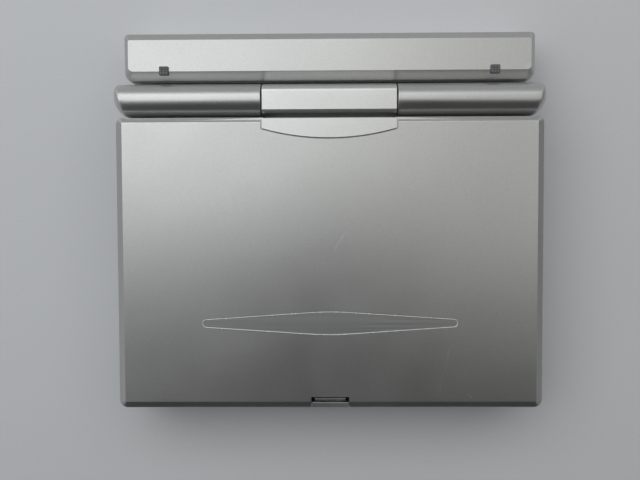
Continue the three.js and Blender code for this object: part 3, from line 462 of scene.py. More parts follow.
def rounded_loop(x0, x1, y0, y1, front, rear=None, steps=CORNER):
    """A rounded rectangle, counter-clockwise from its front left corner."""
    rear = front if rear is None else rear
    return [
        *arc(x0 + front, y0 + front, front, 180, 270, steps),
        *arc(x1 - front, y0 + front, front, 270, 360, steps),
        *arc(x1 - rear, y1 - rear, rear, 0, 90, steps),
        *arc(x0 + rear, y1 - rear, rear, 90, 180, steps),
    ]


def skin(name, rings, closed=False):
    """Faces between neighbouring rings of points, where a ring of one point is a pole.

    Closed joins the last ring to the first; otherwise both ends are capped.
    """
    count = max(len(ring) for ring in rings)
    points = []
    indices = []
    for ring in rings:
        first = len(points)
        points += ring
        indices.append([first] * count if len(ring) == 1 else list(range(first, first + count)))
    faces = []
    if not closed and len(rings[0]) > 1:
        faces.append(tuple(reversed(indices[0])))
    for low, high in zip(indices, indices[1:] + indices[:1] if closed else indices[1:]):
        for i in range(count):
            j = (i + 1) % count
            corners = tuple(dict.fromkeys((low[i], low[j], high[j], high[i])))
            if len(corners) > 2:
                faces.append(corners)
    if not closed and len(rings[-1]) > 1:
        faces.append(tuple(indices[-1]))
    return build(name, points, faces)


def loft(name, layers):
    """A closed skin through (z, loop) layers with equal numbers of points, lowest first."""
    return skin(name, [[(x, y, z) for x, y in loop] for z, loop in layers])


def slab(name, loop, z0, z1):
    return loft(name, [(z0, loop), (z1, loop)])


def block(name, x0, x1, y0, y1, z0, z1):
    return slab(name, rectangle(x0, x1, y0, y1), z0, z1)


def fillet(profile, steps=4):
    """Rounds the corners of a path of (u, v, radius) points."""
    rounded = [Vector(profile[0][:2])]
    for before, here, after in zip(profile, profile[1:], profile[2:]):
        corner = Vector(here[:2])
        if here[2] == 0:
            rounded.append(corner)
            continue
        back = Vector(before[:2]) - corner
        on = Vector(after[:2]) - corner
        half = (math.pi - back.angle(on)) / 2
        reach = min(here[2] * math.tan(half), back.length * 0.49, on.length * 0.49)
        start = corner + back.normalized() * reach
        end = corner + on.normalized() * reach
        for step in range(steps + 1):
            t = step / steps
            rounded.append(start * (1 - t) ** 2 + corner * 2 * t * (1 - t) + end * t**2)
    rounded.append(Vector(profile[-1][:2]))
    return rounded


AXIS_TURN = {
    "Z": Matrix.Identity(3),
    "X": Matrix(((0, 0, 1), (1, 0, 0), (0, 1, 0))),
}


def lathe(name, profile, centre, axis, steps):
    """A profile of (radius, along) points turned about an axis; it ends where it starts, or on the axis."""
    profile = [tuple(point) for point in profile]
    closed = profile[0] == profile[-1]
    if closed:
        profile = profile[:-1]
    turn = AXIS_TURN[axis]
    rings = []
    for radius, along in profile:
        count = 1 if radius < 1e-6 else steps
        circle = [2 * math.pi * step / steps for step in range(count)]
        ring = [Vector((radius * math.cos(angle), radius * math.sin(angle), along)) for angle in circle]
        rings.append([turn @ point + Vector(centre) for point in ring])
    return skin(name, rings, closed)


def rod(name, x0, x1, y, z, radius, steps=48):
    return lathe(name, [(0, x0), (radius, x0), (radius, x1), (0, x1)], (0, y, z), "X", steps)


def post(name, x, y, z0, z1, radius, steps=48):
    return lathe(name, [(0, z0), (radius, z0), (radius, z1), (0, z1)], (x, y, 0), "Z", steps)


def prism_x(name, section, x0, x1):
    """A section of (y, z) points, counter-clockwise seen from +X, run along X."""
    return skin(name, [[(x, y, z) for y, z in section] for x in (x0, x1)])


def applied(obj):
    """Turns the object's modifiers into mesh."""
    mesh = bpy.data.meshes.new_from_object(obj.evaluated_get(bpy.context.evaluated_depsgraph_get()))
    obj.modifiers.clear()
    obj.data = mesh
    return obj


def combine(obj, tools, operation):
    for tool in tools:
        modifier = obj.modifiers.new(operation.lower(), "BOOLEAN")
        modifier.operation = operation
        modifier.solver = "EXACT"
        modifier.object = tool
    applied(obj)
    for tool in tools:
        bpy.data.objects.remove(tool)
    return obj


def cut(obj, *tools):
    return combine(obj, tools, "DIFFERENCE")


def unite(obj, *others):
    return combine(obj, others, "UNION")


def soften(obj, width, segments=2, angle=40):
    """Rounds every edge that is sharper than an angle."""
    modifier = obj.modifiers.new("soften", "BEVEL")
    modifier.width = width
    modifier.segments = segments
    modifier.limit_method = "ANGLE"
    modifier.angle_limit = math.radians(angle)
    modifier.miter_outer = "MITER_ARC"
    modifier.use_clamp_overlap = True
    return applied(obj)


def from_cad(node, width):
    """The CAD node's own shape: unless the width is 0, its flat faces are joined and its edges rounded."""
    obj = build(node, [], [])
    source = bmesh.new()
    source.from_mesh(frame["nodes"][node].data)
    bmesh.ops.scale(source, vec=(1 / MM,) * 3, verts=source.verts)
    bmesh.ops.remove_doubles(source, verts=source.verts, dist=0.001)
    if width:
        bmesh.ops.dissolve_limit(source, angle_limit=math.radians(1), verts=source.verts, edges=source.edges)
    source.to_mesh(obj.data)
    source.free()
    return soften(obj, width) if width else obj


EDGE_WIDTH = 0.45  # faces narrower than this, in millimetres, are rounded edges
SMOOTH_ANGLE = 50  # faces that meet at less than this many degrees are shaded as one


def mark_edges(mesh):
    """Writes 1 on the narrow faces that round an edge, and 0 on the rest."""
    layer = mesh.attributes.new("edge", "FLOAT", "FACE")
    for polygon in mesh.polygons:
        corners = [mesh.vertices[index].co for index in polygon.vertices]
        longest = max((a - b).length for a, b in zip(corners, corners[1:] + corners[:1]))
        narrow = polygon.area / max(longest, 1e-6) < EDGE_WIDTH
        layer.data[polygon.index].value = 1.0 if narrow else 0.0


def mark_inside(mesh, low, high):
    """Writes 1 on the faces inside a box, which the paint doesn't reach, and 0 on the rest."""
    layer = mesh.attributes.new("inside", "FLOAT", "FACE")
    for polygon in mesh.polygons:
        centre = polygon.center
        within = all(a < value < b for a, value, b in zip(low, centre, high))
        layer.data[polygon.index].value = 1.0 if within else 0.0


def finished(obj, node, look, name=None):
    """Scales the piece to metres, shades and paints it, and puts it on its node's body.

    It stands for the node, unless it has a name of its own.
    """
    mesh = obj.data
    mark_edges(mesh)
    mesh.transform(Matrix.Scale(MM, 4))
    mesh.shade_smooth()
    mesh.set_sharp_from_angle(angle=math.radians(SMOOTH_ANGLE))
    weights = obj.modifiers.new("normals", "WEIGHTED_NORMAL")
    weights.keep_sharp = True
    applied(obj)
    obj.data.materials.clear()
    obj.data.materials.append(LOOK[look])
    obj.name = name or node + "_piece"
    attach(obj, BODY_OF[node])
    if name is None:
        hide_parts(node)


# ---- lid


LID_RADIUS = (3.7, 2.6)  # of the front and the rear corners, seen from above
LID_CHAMFER = (3.1, 2.4, 1.9)  # width at the front and sides, width at the rear, height
REAR_ROUND = 1.5  # the lid's rear edge: 1 is a straight chamfer and 2 a quarter round
LATCH_NOTCH = (8.6, 5.24)  # half width and depth
SPEAKER_SLOTS = {"x": 88, "half": 3.5, "first": 50, "pitch": 6, "width": 1.6, "count": 5}
WINDOW = {"half": 77.6, "front": 18.4, "rear": 105.6, "slope": 2.4}  # its slope widens it towards the viewer
BADGE_TIP = 1.75  # radius of the badge's two ends
BADGE_APEX = 8.4  # half the length of the arcs at its middle
BEAD = 0.25  # half the width of the bright bead round the badge
SHIELD_BULGE = 4.2  # how far the tongue's front edge curves forward
SHIELD_GAP = 0.7  # how far its rear edge stands back from the housing


def lid_loop(inset, rear_inset=None):
    rear_inset = inset if rear_inset is None else rear_inset
    front, rear = (max(r - i, 0.6) for r, i in zip(LID_RADIUS, (inset, rear_inset)))
    left, right = LID_LOW.x + inset, LID_HIGH.x - inset
    return rounded_loop(left, right, FRONT + inset, LID_HIGH.y - rear_inset, front, rear)


def badge_outline(margin, steps=16):
    """A long flat diamond with its corners rounded."""
    high = mm_box("badge_inlay")[1]
    centre_y = middle_of("badge_inlay").y
    middle = high.y - centre_y + margin
    tip = BADGE_TIP + margin
    reach = high.x - BADGE_TIP
    slope = math.atan((middle - tip) / (reach - BADGE_APEX / 2))
    radius = BADGE_APEX / math.sin(slope)
    tilt = math.degrees(slope)
    half = arc(0, middle - radius, radius, 90 - tilt, 90 + tilt, steps)
    half += arc(-reach, 0, tip, 90 + tilt, 270 - tilt, steps)
    return [(side * x, centre_y + side * y) for side in (1, -1) for x, y in half]


def shield_outline(margin, steps=32):
    low, high = mm_box("hinge_shield")
    half = high.x + margin
    radius = (high.x**2 + SHIELD_BULGE**2) / (2 * SHIELD_BULGE)
    sweep = math.degrees(math.asin(half / (radius + margin)))
    front = arc(0, low.y + radius, radius + margin, -90 - sweep, -90 + sweep, steps)
    return [(half, high.y + margin), (-half, high.y + margin), *front]


def lid_cover():
    width, rear_width, height = LID_CHAMFER
    notch_half, notch_depth = LATCH_NOTCH
    top = LID_HIGH.z
    roof = top - LID_WALL
    shoulder = top - height
    profile = fillet(
        [(0.8, SEAM, 0), (0, SEAM, 0.25), (0, shoulder, 0.8), (width, top, 0.3), (width + 1.5, top, 0)], 6
    )

    def rear_inset(inset, z):
        """The rear edge is drawn between a chamfer and a quarter round."""
        if z <= shoulder:
            return inset
        rise = min((z - shoulder) / height, 1)
        return rear_width * (1 - (1 - rise**REAR_ROUND) ** (1 / REAR_ROUND)) + max(inset - width, 0)

    shell = loft("lid_cover", [(z, lid_loop(inset, rear_inset(inset, z))) for inset, z in profile])
    cut(shell, slab("cavity", lid_loop(LID_WALL), SEAM - 1, roof))
    unite(shell, block("latch_box", -10.4, 10.4, FRONT + 1, FRONT + 10, SEAM + 0.02, roof + 0.3))
    shield_low = mm_box("hinge_shield")[0]
    neck = NECK_HALF + 0.5
    cut(
        shell,
        block("notch", -notch_half, notch_half, FRONT - 1, FRONT + notch_depth, SEAM - 1, top + 1),
        block("spring_pocket", -notch_half, notch_half, FRONT + 4, FRONT + 8.5, SEAM - 1, 28),
        slab("badge_recess", badge_outline(0.3), top - 1, top + 1),
        slab("shield_pocket", shield_outline(0.5), shield_low.z - 0.5, top + 1),
        block("neck", -neck, neck, LID_HIGH.y - 2.3, LID_HIGH.y + 1, SEAM - 1, top),
    )
    return soften(shell, 0.14)


def lid_bezel():
    """The screen's frame: a plate with a sloping window and speaker slots, and a lip inside the cover."""
    low, high = mm_box("lid_bezel")
    split = SEAM - 0.3
    profile = fillet(
        [(1.8, low.z, 0), (0.8, low.z, 0.3), (0, low.z + 0.8, 0.3), (0, split, 0.2), (0.8, split, 0)]
    )
    plate = loft("lid_bezel", [(z, lid_loop(inset)) for inset, z in profile])
    lip = slab("lip", lid_loop(LID_WALL + 0.3), split - 0.3, high.z)
    cut(lip, slab("lip_inside", lid_loop(LID_WALL + 1.4), split - 1, high.z + 1))
    unite(plate, lip)
    half, front, rear = WINDOW["half"], FRONT + WINDOW["front"], FRONT + WINDOW["rear"]
    slope = WINDOW["slope"]
    outer = rounded_loop(-half - slope, half + slope, front - slope, rear + slope, 1.6, steps=4)
    inner = rounded_loop(-half, half, front, rear, 0.6, steps=4)
    neck = NECK_HALF + 0.5
    tools = [
        loft("window", [(low.z - 1, outer), (split + 1, inner)]),
        block("neck", -neck, neck, FRONT + 125, FRONT + 140, low.z - 1, high.z + 1),
        block("hook_hole", -4.6, 4.6, FRONT + 3, FRONT + 5.7, low.z - 1, split + 1),
        block("latch_gap", -10.9, 10.9, FRONT - 1, FRONT + 12, split, high.z + 1),
    ]
    for side in (-1, 1):
        x, half = side * SPEAKER_SLOTS["x"], SPEAKER_SLOTS["half"]
        for row in range(SPEAKER_SLOTS["count"]):
            y = FRONT + SPEAKER_SLOTS["first"] + SPEAKER_SLOTS["pitch"] * row
            loop = rounded_loop(x - half, x + half, y, y + SPEAKER_SLOTS["width"], 0.79, steps=5)
            tools.append(slab("slot", loop, low.z - 1, split + 1))
    cut(plate, *tools)
    return soften(plate, 0.18)


def latch_button():
    """The CAD latch with a wider finger ledge behind its plate."""
    ledge = block("ledge", -7, 7, FRONT + 3, FRONT + 4.4, 26.9, 32.5)
    return unite(from_cad("latch_button", 0.15), soften(ledge, 0.15))


def badge_plate():
    low, high = mm_box("badge_inlay")
    return soften(slab("badge", badge_outline(-0.28), low.z, high.z), 0.06)


def badge_rim():
    """A rounded bead along the badge's edge; its pale, partly diffuse paint is a painted highlight line."""
    bottom = mm_box("badge_inlay")[0].z
    section = [(BEAD, bottom), *arc(0, LID_HIGH.z - 0.12, BEAD, 0, 180, 8), (-BEAD, bottom)]
    bead = skin("badge_rim", [[(x, y, z) for x, y in badge_outline(out)] for out, z in section], closed=True)
    return tidy_normals(bead)


def hinge_shield():
    low, high = mm_box("hinge_shield")
    plate = slab("hinge_shield", shield_outline(0), low.z, high.z)
    cut(plate, block("gap", low.x - 1, high.x + 1, high.y - SHIELD_GAP, high.y + 1, low.z - 1, high.z + 1))
    return soften(plate, 0.25, 3)


# ---- hinge


BARREL_BORE = 4.6  # radius
BORE_END = 92  # how far out the bore reaches
HOUSING = {"radius": 7.4, "top": 6.6, "flat": 3.35}  # its flat top ends behind the axis


def spline(points, steps):
    """A smooth curve through points, as many steps between each pair."""
    points = [Vector(point) for point in points]
    padded = [2 * points[0] - points[1], *points, 2 * points[-1] - points[-2]]
    curve = []
    for a, b, c, d in zip(padded, padded[1:], padded[2:], padded[3:]):
        for step in range(steps):
            t = step / steps
            slope = (c - a) * t
            bend = (2 * a - 5 * b + 4 * c - d) * t**2
            twist = (3 * b - a - 3 * c + d) * t**3
            curve.append(0.5 * (2 * b + slope + bend + twist))
    curve.append(points[-1])
    return curve


def hinge_barrel(side, steps=72):
    """A tube whose outer end is drawn in more to the front than to the rear."""
    low, high = mm_box("hinge_barrel_right")
    radius = high.y - HINGE.y
    # each end runs from the axis out to the tube, as (radius, distance from the tip)
    rear = [(0, 0), (2.5, 0.2), (4.6, 0.45), (6.0, 0.85), (6.9, 1.5), (7.35, 2.6), (radius, 5)]
    front = [(0, 0.1), (2.0, 0.9), (4.0, 2.0), (5.6, 3.3), (6.7, 4.6), (7.3, 6.2), (radius, 9)]

    def ring(at_rear, at_front):
        points = []
        for step in range(steps):
            angle = 2 * math.pi * step / steps
            r, x = at_rear.lerp(at_front, (1 - math.cos(angle)) / 2)
            points.append((side * x, HINGE.y + r * math.cos(angle), HINGE.z + r * math.sin(angle)))
        return points

    ends = [[Vector((r, high.x - back)) for r, back in spline(end, 4)] for end in (rear, front)]
    rings = [ring(*pair) for pair in zip(*ends)]
    rings[0] = [(side * (ends[0][0].y + ends[1][0].y) / 2, HINGE.y, HINGE.z)]
    inner = [(radius, low.x + 0.3), (radius - 0.3, low.x), (BARREL_BORE, low.x), (BARREL_BORE, BORE_END)]
    rings += [ring(Vector(place), Vector(place)) for place in inner]
    tube = tidy_normals(skin("hinge_barrel", rings))
    cut(tube, block("deck", -110, 110, HINGE.y - 12, HINGE.y + 12, low.z - 9, low.z))
    return soften(tube, 0.12, angle=60)


def tidy_normals(obj):
    mesh = bmesh.new()
    mesh.from_mesh(obj.data)
    bmesh.ops.recalc_face_normals(mesh, faces=mesh.faces)
    mesh.to_mesh(obj.data)
    mesh.free()
    return obj


def housing_section():
    """The centre section's outline in Y and Z, counter-clockwise seen from +X."""
    radius, top, flat = HOUSING["radius"], HOUSING["top"], HOUSING["flat"]
    outline = arc(0, 0, radius, -180, 0, 32)
    outline += arc(flat, 0, radius - flat, 0, 90, 16, height=top)[1:]
    outline += fillet([(0, top, 0), (-4.84, top, 0.5), (-6.4, 5.2, 0.6), (-7.45, 0.4, 0)])
    return [(HINGE.y + y, HINGE.z + z) for y, z in outline]


def hinge_housing():
    low, high = mm_box("hinge_centre_housing")
    tube = prism_x("housing", housing_section(), low.x, high.x)
    soften(tube, 0.3, 3, angle=60)
    unite(tube, block("neck", -NECK_HALF, NECK_HALF, low.y, HINGE.y - 6, 22.1, HINGE.z - 1))
    return cut(tube, rod("bore", low.x - 1, high.x + 1, HINGE.y, HINGE.z, 2.3))


# ---- base


BASE_RADIUS = 4.0
BAY_RADIUS = 62.6  # of the round opening over the disc
TROUGH = {"half": 30.7, "radius": 8.7, "front": FRONT + 131.7, "floor": 16}  # for the hinge housing
SIDE_SLOT = (13.2, 16.4)  # heights of the wheel's and the switch's slots
KEYS = ("play_button", "stop_button", "previous_button", "next_button", "door_button")
KEY_LIP = 1.5
LIP_Z = (17.5, 18.7)  # heights of the lip under each key
SCREWS = ("case_screw_left", "case_screw_right")
SCREW_HEAD = 2.2  # radius
SCREW_SHANK = 1.2
VENTS = {"left": -60, "right": -30, "first": 50, "pitch": 7, "width": 2, "count": 5}
JACKS = ("headphone_jack_front", "headphone_jack_rear", "av_jack", "dc_jack")
JACK_Z = 14.8  # height of the sockets' axes
JACK_BODY_END = 92.7  # X of the side of each body that faces the wall


def base_loop(inset):
    (left, front), (right, rear) = BASE_LOW.xy, BASE_HIGH.xy
    radius = max(BASE_RADIUS - inset, 0.8)
    return rounded_loop(left + inset, right - inset, front + inset, rear - inset, radius)


def grown_loop(low, high, margin, radius):
    """A rounded rectangle round a box, seen from above."""
    return rounded_loop(low.x - margin, high.x + margin, low.y - margin, high.y + margin, radius, steps=6)


def base_upper():
    low, high = BASE_LOW, BASE_HIGH
    profile = fillet([(0.8, low.z, 0), (0, low.z, 0.2), (0, high.z, 0.7), (1.5, high.z, 0)], 5)
    shell = loft("base_upper", [(z, base_loop(inset)) for inset, z in profile])
    cut(shell, slab("inside", base_loop(BASE_WALL), low.z - 1, DECK_UNDERSIDE))
    half, front = TROUGH["half"], TROUGH["front"]
    trough = block("trough", -half - 2, half + 2, front, high.y - 1.5, TROUGH["floor"], DECK_UNDERSIDE + 0.3)
    unite(shell, trough)
    cut(shell, *deck_cuts(), *key_cuts(), *side_cuts())
    return soften(shell, 0.2)


def deck_cuts():
    """The hinge trough, the disc bay with room for the door's tail and pins, and the latch hook's slot."""
    x, y = SPINDLE.x, SPINDLE.y
    half, pin_y = 30.4, joint_place("door_hinge").y
    tools = [
        rod("trough", -TROUGH["half"], TROUGH["half"], HINGE.y, HINGE.z, TROUGH["radius"], 72),
        post("bay", x, y, *DECK_HOLE, BAY_RADIUS, 128),
        block("tail_bay", x - half, x + half, y + 34, TROUGH["front"], *DECK_HOLE),
        block("hook_slot", -5, 5, FRONT + 2.5, FRONT + 5.6, *DECK_HOLE),
    ]
    for pin_x in (x - half, x + half):
        tools.append(block("pin_bay", pin_x - 1.5, pin_x + 1.5, pin_y - 1.1, pin_y + 1.1, *DECK_HOLE))
    return tools


def key_cuts():
    ring = middle_of("nav_ring")
    holes = [slab("key_hole", grown_loop(*key_cap(node), 0.4, 1.9), *DECK_HOLE) for node in KEYS]
    return [*holes, post("ring_hole", ring.x, ring.y, *DECK_HOLE, 12.4, 72)]


def side_cuts():
    """The holes in the right wall."""
    tools = []
    for node in JACKS:
        radius = 3.6 if node == "dc_jack" else 3.4
        tools.append(rod("jack_hole", *SIDE_HOLE, middle_of(node).y, JACK_Z, radius))
    wheel = joint_place("volume_turn").y
    switch = FRONT + 80.5
    tools.append(block("wheel_slot", *SIDE_HOLE, wheel - 6.9, wheel + 6.9, *SIDE_SLOT))
    tools.append(block("switch_slot", *SIDE_HOLE, switch - 0.4, switch + 7.4, *SIDE_SLOT))
    return tools


def hook_blocks(name, y0, y1, gap):
    """The pack's two hooks, or with a gap the slots that they go into."""
    half, z0, z1 = HOOK["half"] + gap, HOOK["bottom"] - gap, HOOK["top"] + gap
    return [block(name, x - half, x + half, y0, y1, z0, z1) for x in (-HOOK["x"], HOOK["x"])]


def base_lower():
    low, high = mm_box("base_lower_shell")
    profile = fillet(
        [(4.5, low.z, 0), (3, low.z, 0.8), (0, low.z + 2.5, 1.2), (0, high.z, 0.2), (0.8, high.z, 0)], 5
    )
    tub = loft("base_lower", [(z, base_loop(inset)) for inset, z in profile])
    floor = low.z + BASE_WALL
    cut(tub, slab("inside", base_loop(BASE_WALL), floor + 1, high.z + 1))
    cut(tub, slab("inside_floor", base_loop(3.8), floor, floor + 1.2))
    places = [middle_of(node) for node in SCREWS]
    unite(tub, *[post("screw_post", place.x, place.y, floor - 0.2, high.z, 3.4) for place in places])
    tools = []
    for place in places:
        tools.append(post("counterbore", place.x, place.y, low.z - 1, floor, SCREW_HEAD + 0.4))
        tools.append(post("screw_hole", place.x, place.y, low.z, high.z + 1, SCREW_SHANK + 0.3, 24))
    for row in range(VENTS["count"]):
        y = FRONT + VENTS["first"] + VENTS["pitch"] * row
        loop = rounded_loop(VENTS["left"], VENTS["right"], y, y + VENTS["width"], 0.99, steps=5)
        tools.append(slab("vent", loop, 0, floor + 1))
    tools += hook_blocks("hook_slot", high.y - 3, high.y + 1, HOOK_GAP)
    x, y, _ = middle_of("battery_release")
    tools.append(block("release_slot", x - 8.4, x + 11.4, y - 3.4, y + 3.4, 0, floor + 1))
    cut(tub, *tools)
    soften(tub, 0.2)
    inset = Vector((1.9, 1.9, 1.9))
    mark_inside(tub.data, low + inset, high - inset + Vector((0, 0, 5)))
    return tub


def key_cap(node):
    """The part of a key that stands in its hole: its box without the lip below."""
    low, high = mm_box(node)
    return low + Vector((KEY_LIP, KEY_LIP, 0)), high - Vector((KEY_LIP, KEY_LIP, 0))


def key(node):
    low, high = key_cap(node)
    lip_low, lip_high = LIP_Z
    top = high.z
    profile = fillet([(0, lip_high - 0.1, 0), (0, top, 0.5), (1.2, top - 0.02, 0), (2.4, top - 0.12, 0)], 5)
    cap = loft(node, [(z, grown_loop(low, high, -inset, max(1.5 - inset, 0.4))) for inset, z in profile])
    unite(cap, slab("lip", grown_loop(low, high, KEY_LIP, 1.5 + KEY_LIP), lip_low, lip_high))
    centre = middle_of(node)
    return unite(cap, post("stem", centre.x, centre.y, low.z, lip_low + 0.1, 2, 24))


def triangle(x, y, size, way):
    back = x - way * size * 0.5
    return [(back, y - size * 0.6), (x + way * size * 0.6, y), (back, y + size * 0.6)]


def rectangle(x0, x1, y0, y1):
    return [(x0, y0), (x1, y0), (x1, y1), (x0, y1)]


def key_symbol(node):
    """The moulded sign on a key: arrows, a square, or a raised lid."""
    x, y, _ = middle_of(node)
    if node == "play_button":
        shapes = [triangle(x, y, 2.6, 1)]
    elif node == "stop_button":
        shapes = [rectangle(x - 1.2, x + 1.2, y - 1.2, y + 1.2)]
    elif node == "door_button":
        shapes = [[(x - 1.6, y - 0.4), (x + 1.6, y - 0.4), (x, y + 1.3)]]
        shapes.append(rectangle(x - 1.6, x + 1.6, y - 1.3, y - 0.8))
    else:
        way = 1 if node == "next_button" else -1
        bar = x + way * 2.0
        shapes = [triangle(x - way * 1.0, y, 2.2, way), triangle(x + way * 0.9, y, 2.2, way)]
        shapes.append(rectangle(bar, bar + 0.4, y - 1.3, y + 1.3))
    top = mm_box(node)[1].z - 0.12
    solids = []
    for shape in shapes:
        area = sum(a[0] * b[1] - b[0] * a[1] for a, b in zip(shape, shape[1:] + shape[:1]))
        solids.append(slab("sign", shape if area > 0 else shape[::-1], top - 0.1, top + 0.05))
    return joined(solids)


def joined(solids):
    """Several meshes as one object, without a boolean."""
    mesh = bmesh.new()
    for solid in solids:
        mesh.from_mesh(solid.data)
    first = solids[0]
    mesh.to_mesh(first.data)
    mesh.free()
    for solid in solids[1:]:
        bpy.data.objects.remove(solid)
    return first


# ---- disc drive


def spun(name, profile, axis_at, steps, round_steps=4):
    """A profile with its corners rounded, turned about a vertical axis."""
    return lathe(name, fillet(profile, round_steps), (axis_at.x, axis_at.y, 0), "Z", steps)


def disc_well():
    """A dish with a shallow ring sunk in its floor and a slot along which the sled moves."""
    rim = mm_box("disc_well")[1].z
    floor, bottom, sunk = 13.8, 12.6, 13.5
    hub_hole, inner, outer = 16, 61.5, 62.4
    profile = [
        (hub_hole, bottom, 0), (outer, bottom, 0.5), (outer, rim, 0.2), (inner, rim, 0.3),
        (inner - 0.2, floor, 1.5), (47, floor, 0.2), (46.6, sunk, 0.2), (18.4, sunk, 0.2), (18, floor, 0.2),
        (hub_hole, floor, 0.3), (hub_hole, bottom, 0),
    ]
    dish = spun("disc_well", profile, SPINDLE, 128, 3)
    x, y = SPINDLE.x, SPINDLE.y
    cut(dish, block("slot", x + 10, x + 61.2, y - 8, y + 8, bottom - 1, floor + 1))
    return soften(dish, 0.15, angle=60)


def disc_door():
    """A round plate with a groove and a finger dimple, a tail that reaches its hinge, and two pins."""
    low, high = mm_box("disc_door")
    x, y = SPINDLE.x, SPINDLE.y
    radius = BAY_RADIUS - 0.4
    top, groove, dimple = high.z, high.z - 0.4, high.z - 0.5
    profile = [
        (0, low.z, 0), (radius, low.z, 0.3), (radius, top, 0.5),
        (45.6, top, 0.15), (45.2, groove, 0.1), (44, groove, 0.1), (43.6, top, 0.15),
        (9.5, top, 0.4), (8, dimple, 0.5), (0, dimple, 0),
    ]
    plate = spun("disc_door", profile, SPINDLE, 144)
    tail = soften(block("tail", x - 30, x + 30, y + 36, high.y, low.z, top), 0.25, 3)
    hinge = joint_place("door_hinge")
    return unite(plate, tail, rod("pins", x - 31.4, x + 31.4, hinge.y, hinge.z, 0.7, 24))


HUB_SEAT = 15.6  # height of the top of the hub's flange
HUB_CORE = (12.2, 13.8, 14.6)  # heights of its socket's mouth, its socket's end and the flange's underside


def spindle_hub():
    """A socket on the motor's shaft, a flange with a groove in it, and a cone that centres the disc."""
    top, seat = mm_box("spindle_hub")[1].z, HUB_SEAT
    mouth, end, under = HUB_CORE
    profile = [
        (0, end, 0), (1.3, end, 0), (1.3, mouth, 0), (4, mouth, 0.2), (4, under, 0.3), (13.5, under, 0.2),
        (13.5, seat, 0.2), (9.2, seat, 0.1), (8.9, seat - 0.2, 0.1), (7.9, seat - 0.2, 0.1), (7.4, seat, 0.1),
        (7.2, seat + 1.2, 0.4), (5.4, top, 0.4), (2.2, top, 0.2), (1.8, top - 0.4, 0.1), (0, top - 0.4, 0),
    ]
    return spun("spindle_hub", profile, SPINDLE, 72, 3)


def hub_ring():
    """The rubber ring that the disc rests on."""
    inner, outer, low, high = 9.6, 13.1, HUB_SEAT - 0.1, HUB_SEAT + 0.15
    profile = [(inner, low, 0), (outer, low, 0), (outer, high, 0.1), (inner, high, 0.1), (inner, low, 0)]
    return spun("hub_ring", profile, SPINDLE, 72, 3)


def lens():
    """A domed lens in a thin rim."""
    bottom = mm_box("objective_lens")[0].z
    rim = [(0, bottom), (3, bottom), (3, bottom + 0.7), (2.4, bottom + 0.75), (2.3, bottom + 0.6)]
    dome = arc(0, bottom + 0.6, 2.2, 0, 90, 6, height=0.6)
    dome[-1] = (0, dome[-1][1])
    centre = middle_of("objective_lens")
    return lathe("lens", rim + dome, (centre.x, centre.y, 0), "Z", 48)


# ---- controls on the side and below


def jack(node):
    """A socket: its body behind the wall, its round nose in the wall, its bore, and a pin in the DC one."""
    low, high = mm_box(node)
    y = (low.y + high.y) / 2
    power = node == "dc_jack"
    bore, nose = jack_bore(node), 3.3 if power else 3.1
    body = soften(block("body", low.x, JACK_BODY_END, low.y, high.y, low.z, high.z), 0.25)
    start, mouth = JACK_BODY_END - 0.7, high.x - 0.4
    profile = [
        (0, start, 0), (nose, start, 0), (nose, high.x, 0.3), (bore + 0.35, high.x, 0.1), (bore, mouth, 0.1),
        (0, mouth, 0),
    ]
    unite(body, lathe("nose", fillet(profile, 3), (0, y, JACK_Z), "X", 48))
    cut(body, rod("bore", low.x + 2, SIDE_HOLE[1], y, JACK_Z, bore, 40))
    if power:
        unite(body, rod("pin", low.x + 1.5, 93.5, y, JACK_Z, 0.65, 24))
    return body


def jack_bore(node):
    return 2.75 if node == "dc_jack" else 1.75


def jack_sleeve(node):
    """The thin metal contact just inside the mouth of a jack."""
    inner, outer = jack_bore(node) - 0.22, jack_bore(node) - 0.02
    start, end = 90, 94.3
    profile = [(inner, start), (outer, start), (outer, end), (inner, end), (inner, start)]
    return lathe("jack_sleeve", profile, (0, middle_of(node).y, JACK_Z), "X", 40)


def volume_wheel():
    """A thin wheel with a knurled rim and chamfered faces, on a stem."""
    x, y, _ = joint_place("volume_turn")
    teeth = 60
    rim = []
    for step in range(teeth * 4):
        angle = 2 * math.pi * step / (teeth * 4)
        radius = 7.95 if step % 4 < 2 else 7.65
        rim.append((radius * math.cos(angle), radius * math.sin(angle)))
    layers = ((13.6, 0.95), (13.9, 1), (15.7, 1), (16.0, 0.95))
    wheel = loft("wheel", [(z, [(x + u * scale, y + v * scale) for u, v in rim]) for z, scale in layers])
    unite(wheel, post("stem", x, y, mm_box("volume_wheel")[0].z, 13.7, 2, 32))
    groove = [(3.5, 15.7), (5.5, 15.7), (5.5, 16.3), (3.5, 16.3), (3.5, 15.7)]
    return cut(wheel, lathe("groove", groove, (x, y, 0), "Z", 48))


def foot(node):
    low, high = mm_box(node)
    radius = (high.x - low.x) / 2
    side = [(radius - 0.3, 0, 0.4), (radius, high.z * 0.6, 0.3), (radius, high.z, 0.1)]
    return spun("foot", [(0, 0, 0), *side, (0, high.z, 0)], middle_of(node), 64)


def case_screw(node):
    """A domed head with a cross slot, and a plain shank that ends in a point."""
    low, high = mm_box(node)
    x, y, _ = middle_of(node)
    head, shank = SCREW_HEAD, SCREW_SHANK
    profile = [
        (0, low.z, 0), (1.7, low.z, 0.3), (head, low.z + 0.5, 0.2), (head, low.z + 1.3, 0.1),
        (shank, low.z + 1.4, 0), (shank, high.z - 0.6, 0), (0, high.z, 0),
    ]
    screw = spun("screw", profile, middle_of(node), 40, 3)
    slots = []
    for half_x, half_y in ((1.3, 0.25), (0.25, 1.3)):
        slots.append(block("slot", x - half_x, x + half_x, y - half_y, y + half_y, low.z - 1, low.z + 0.7))
    return cut(screw, *slots)


# ---- battery pack


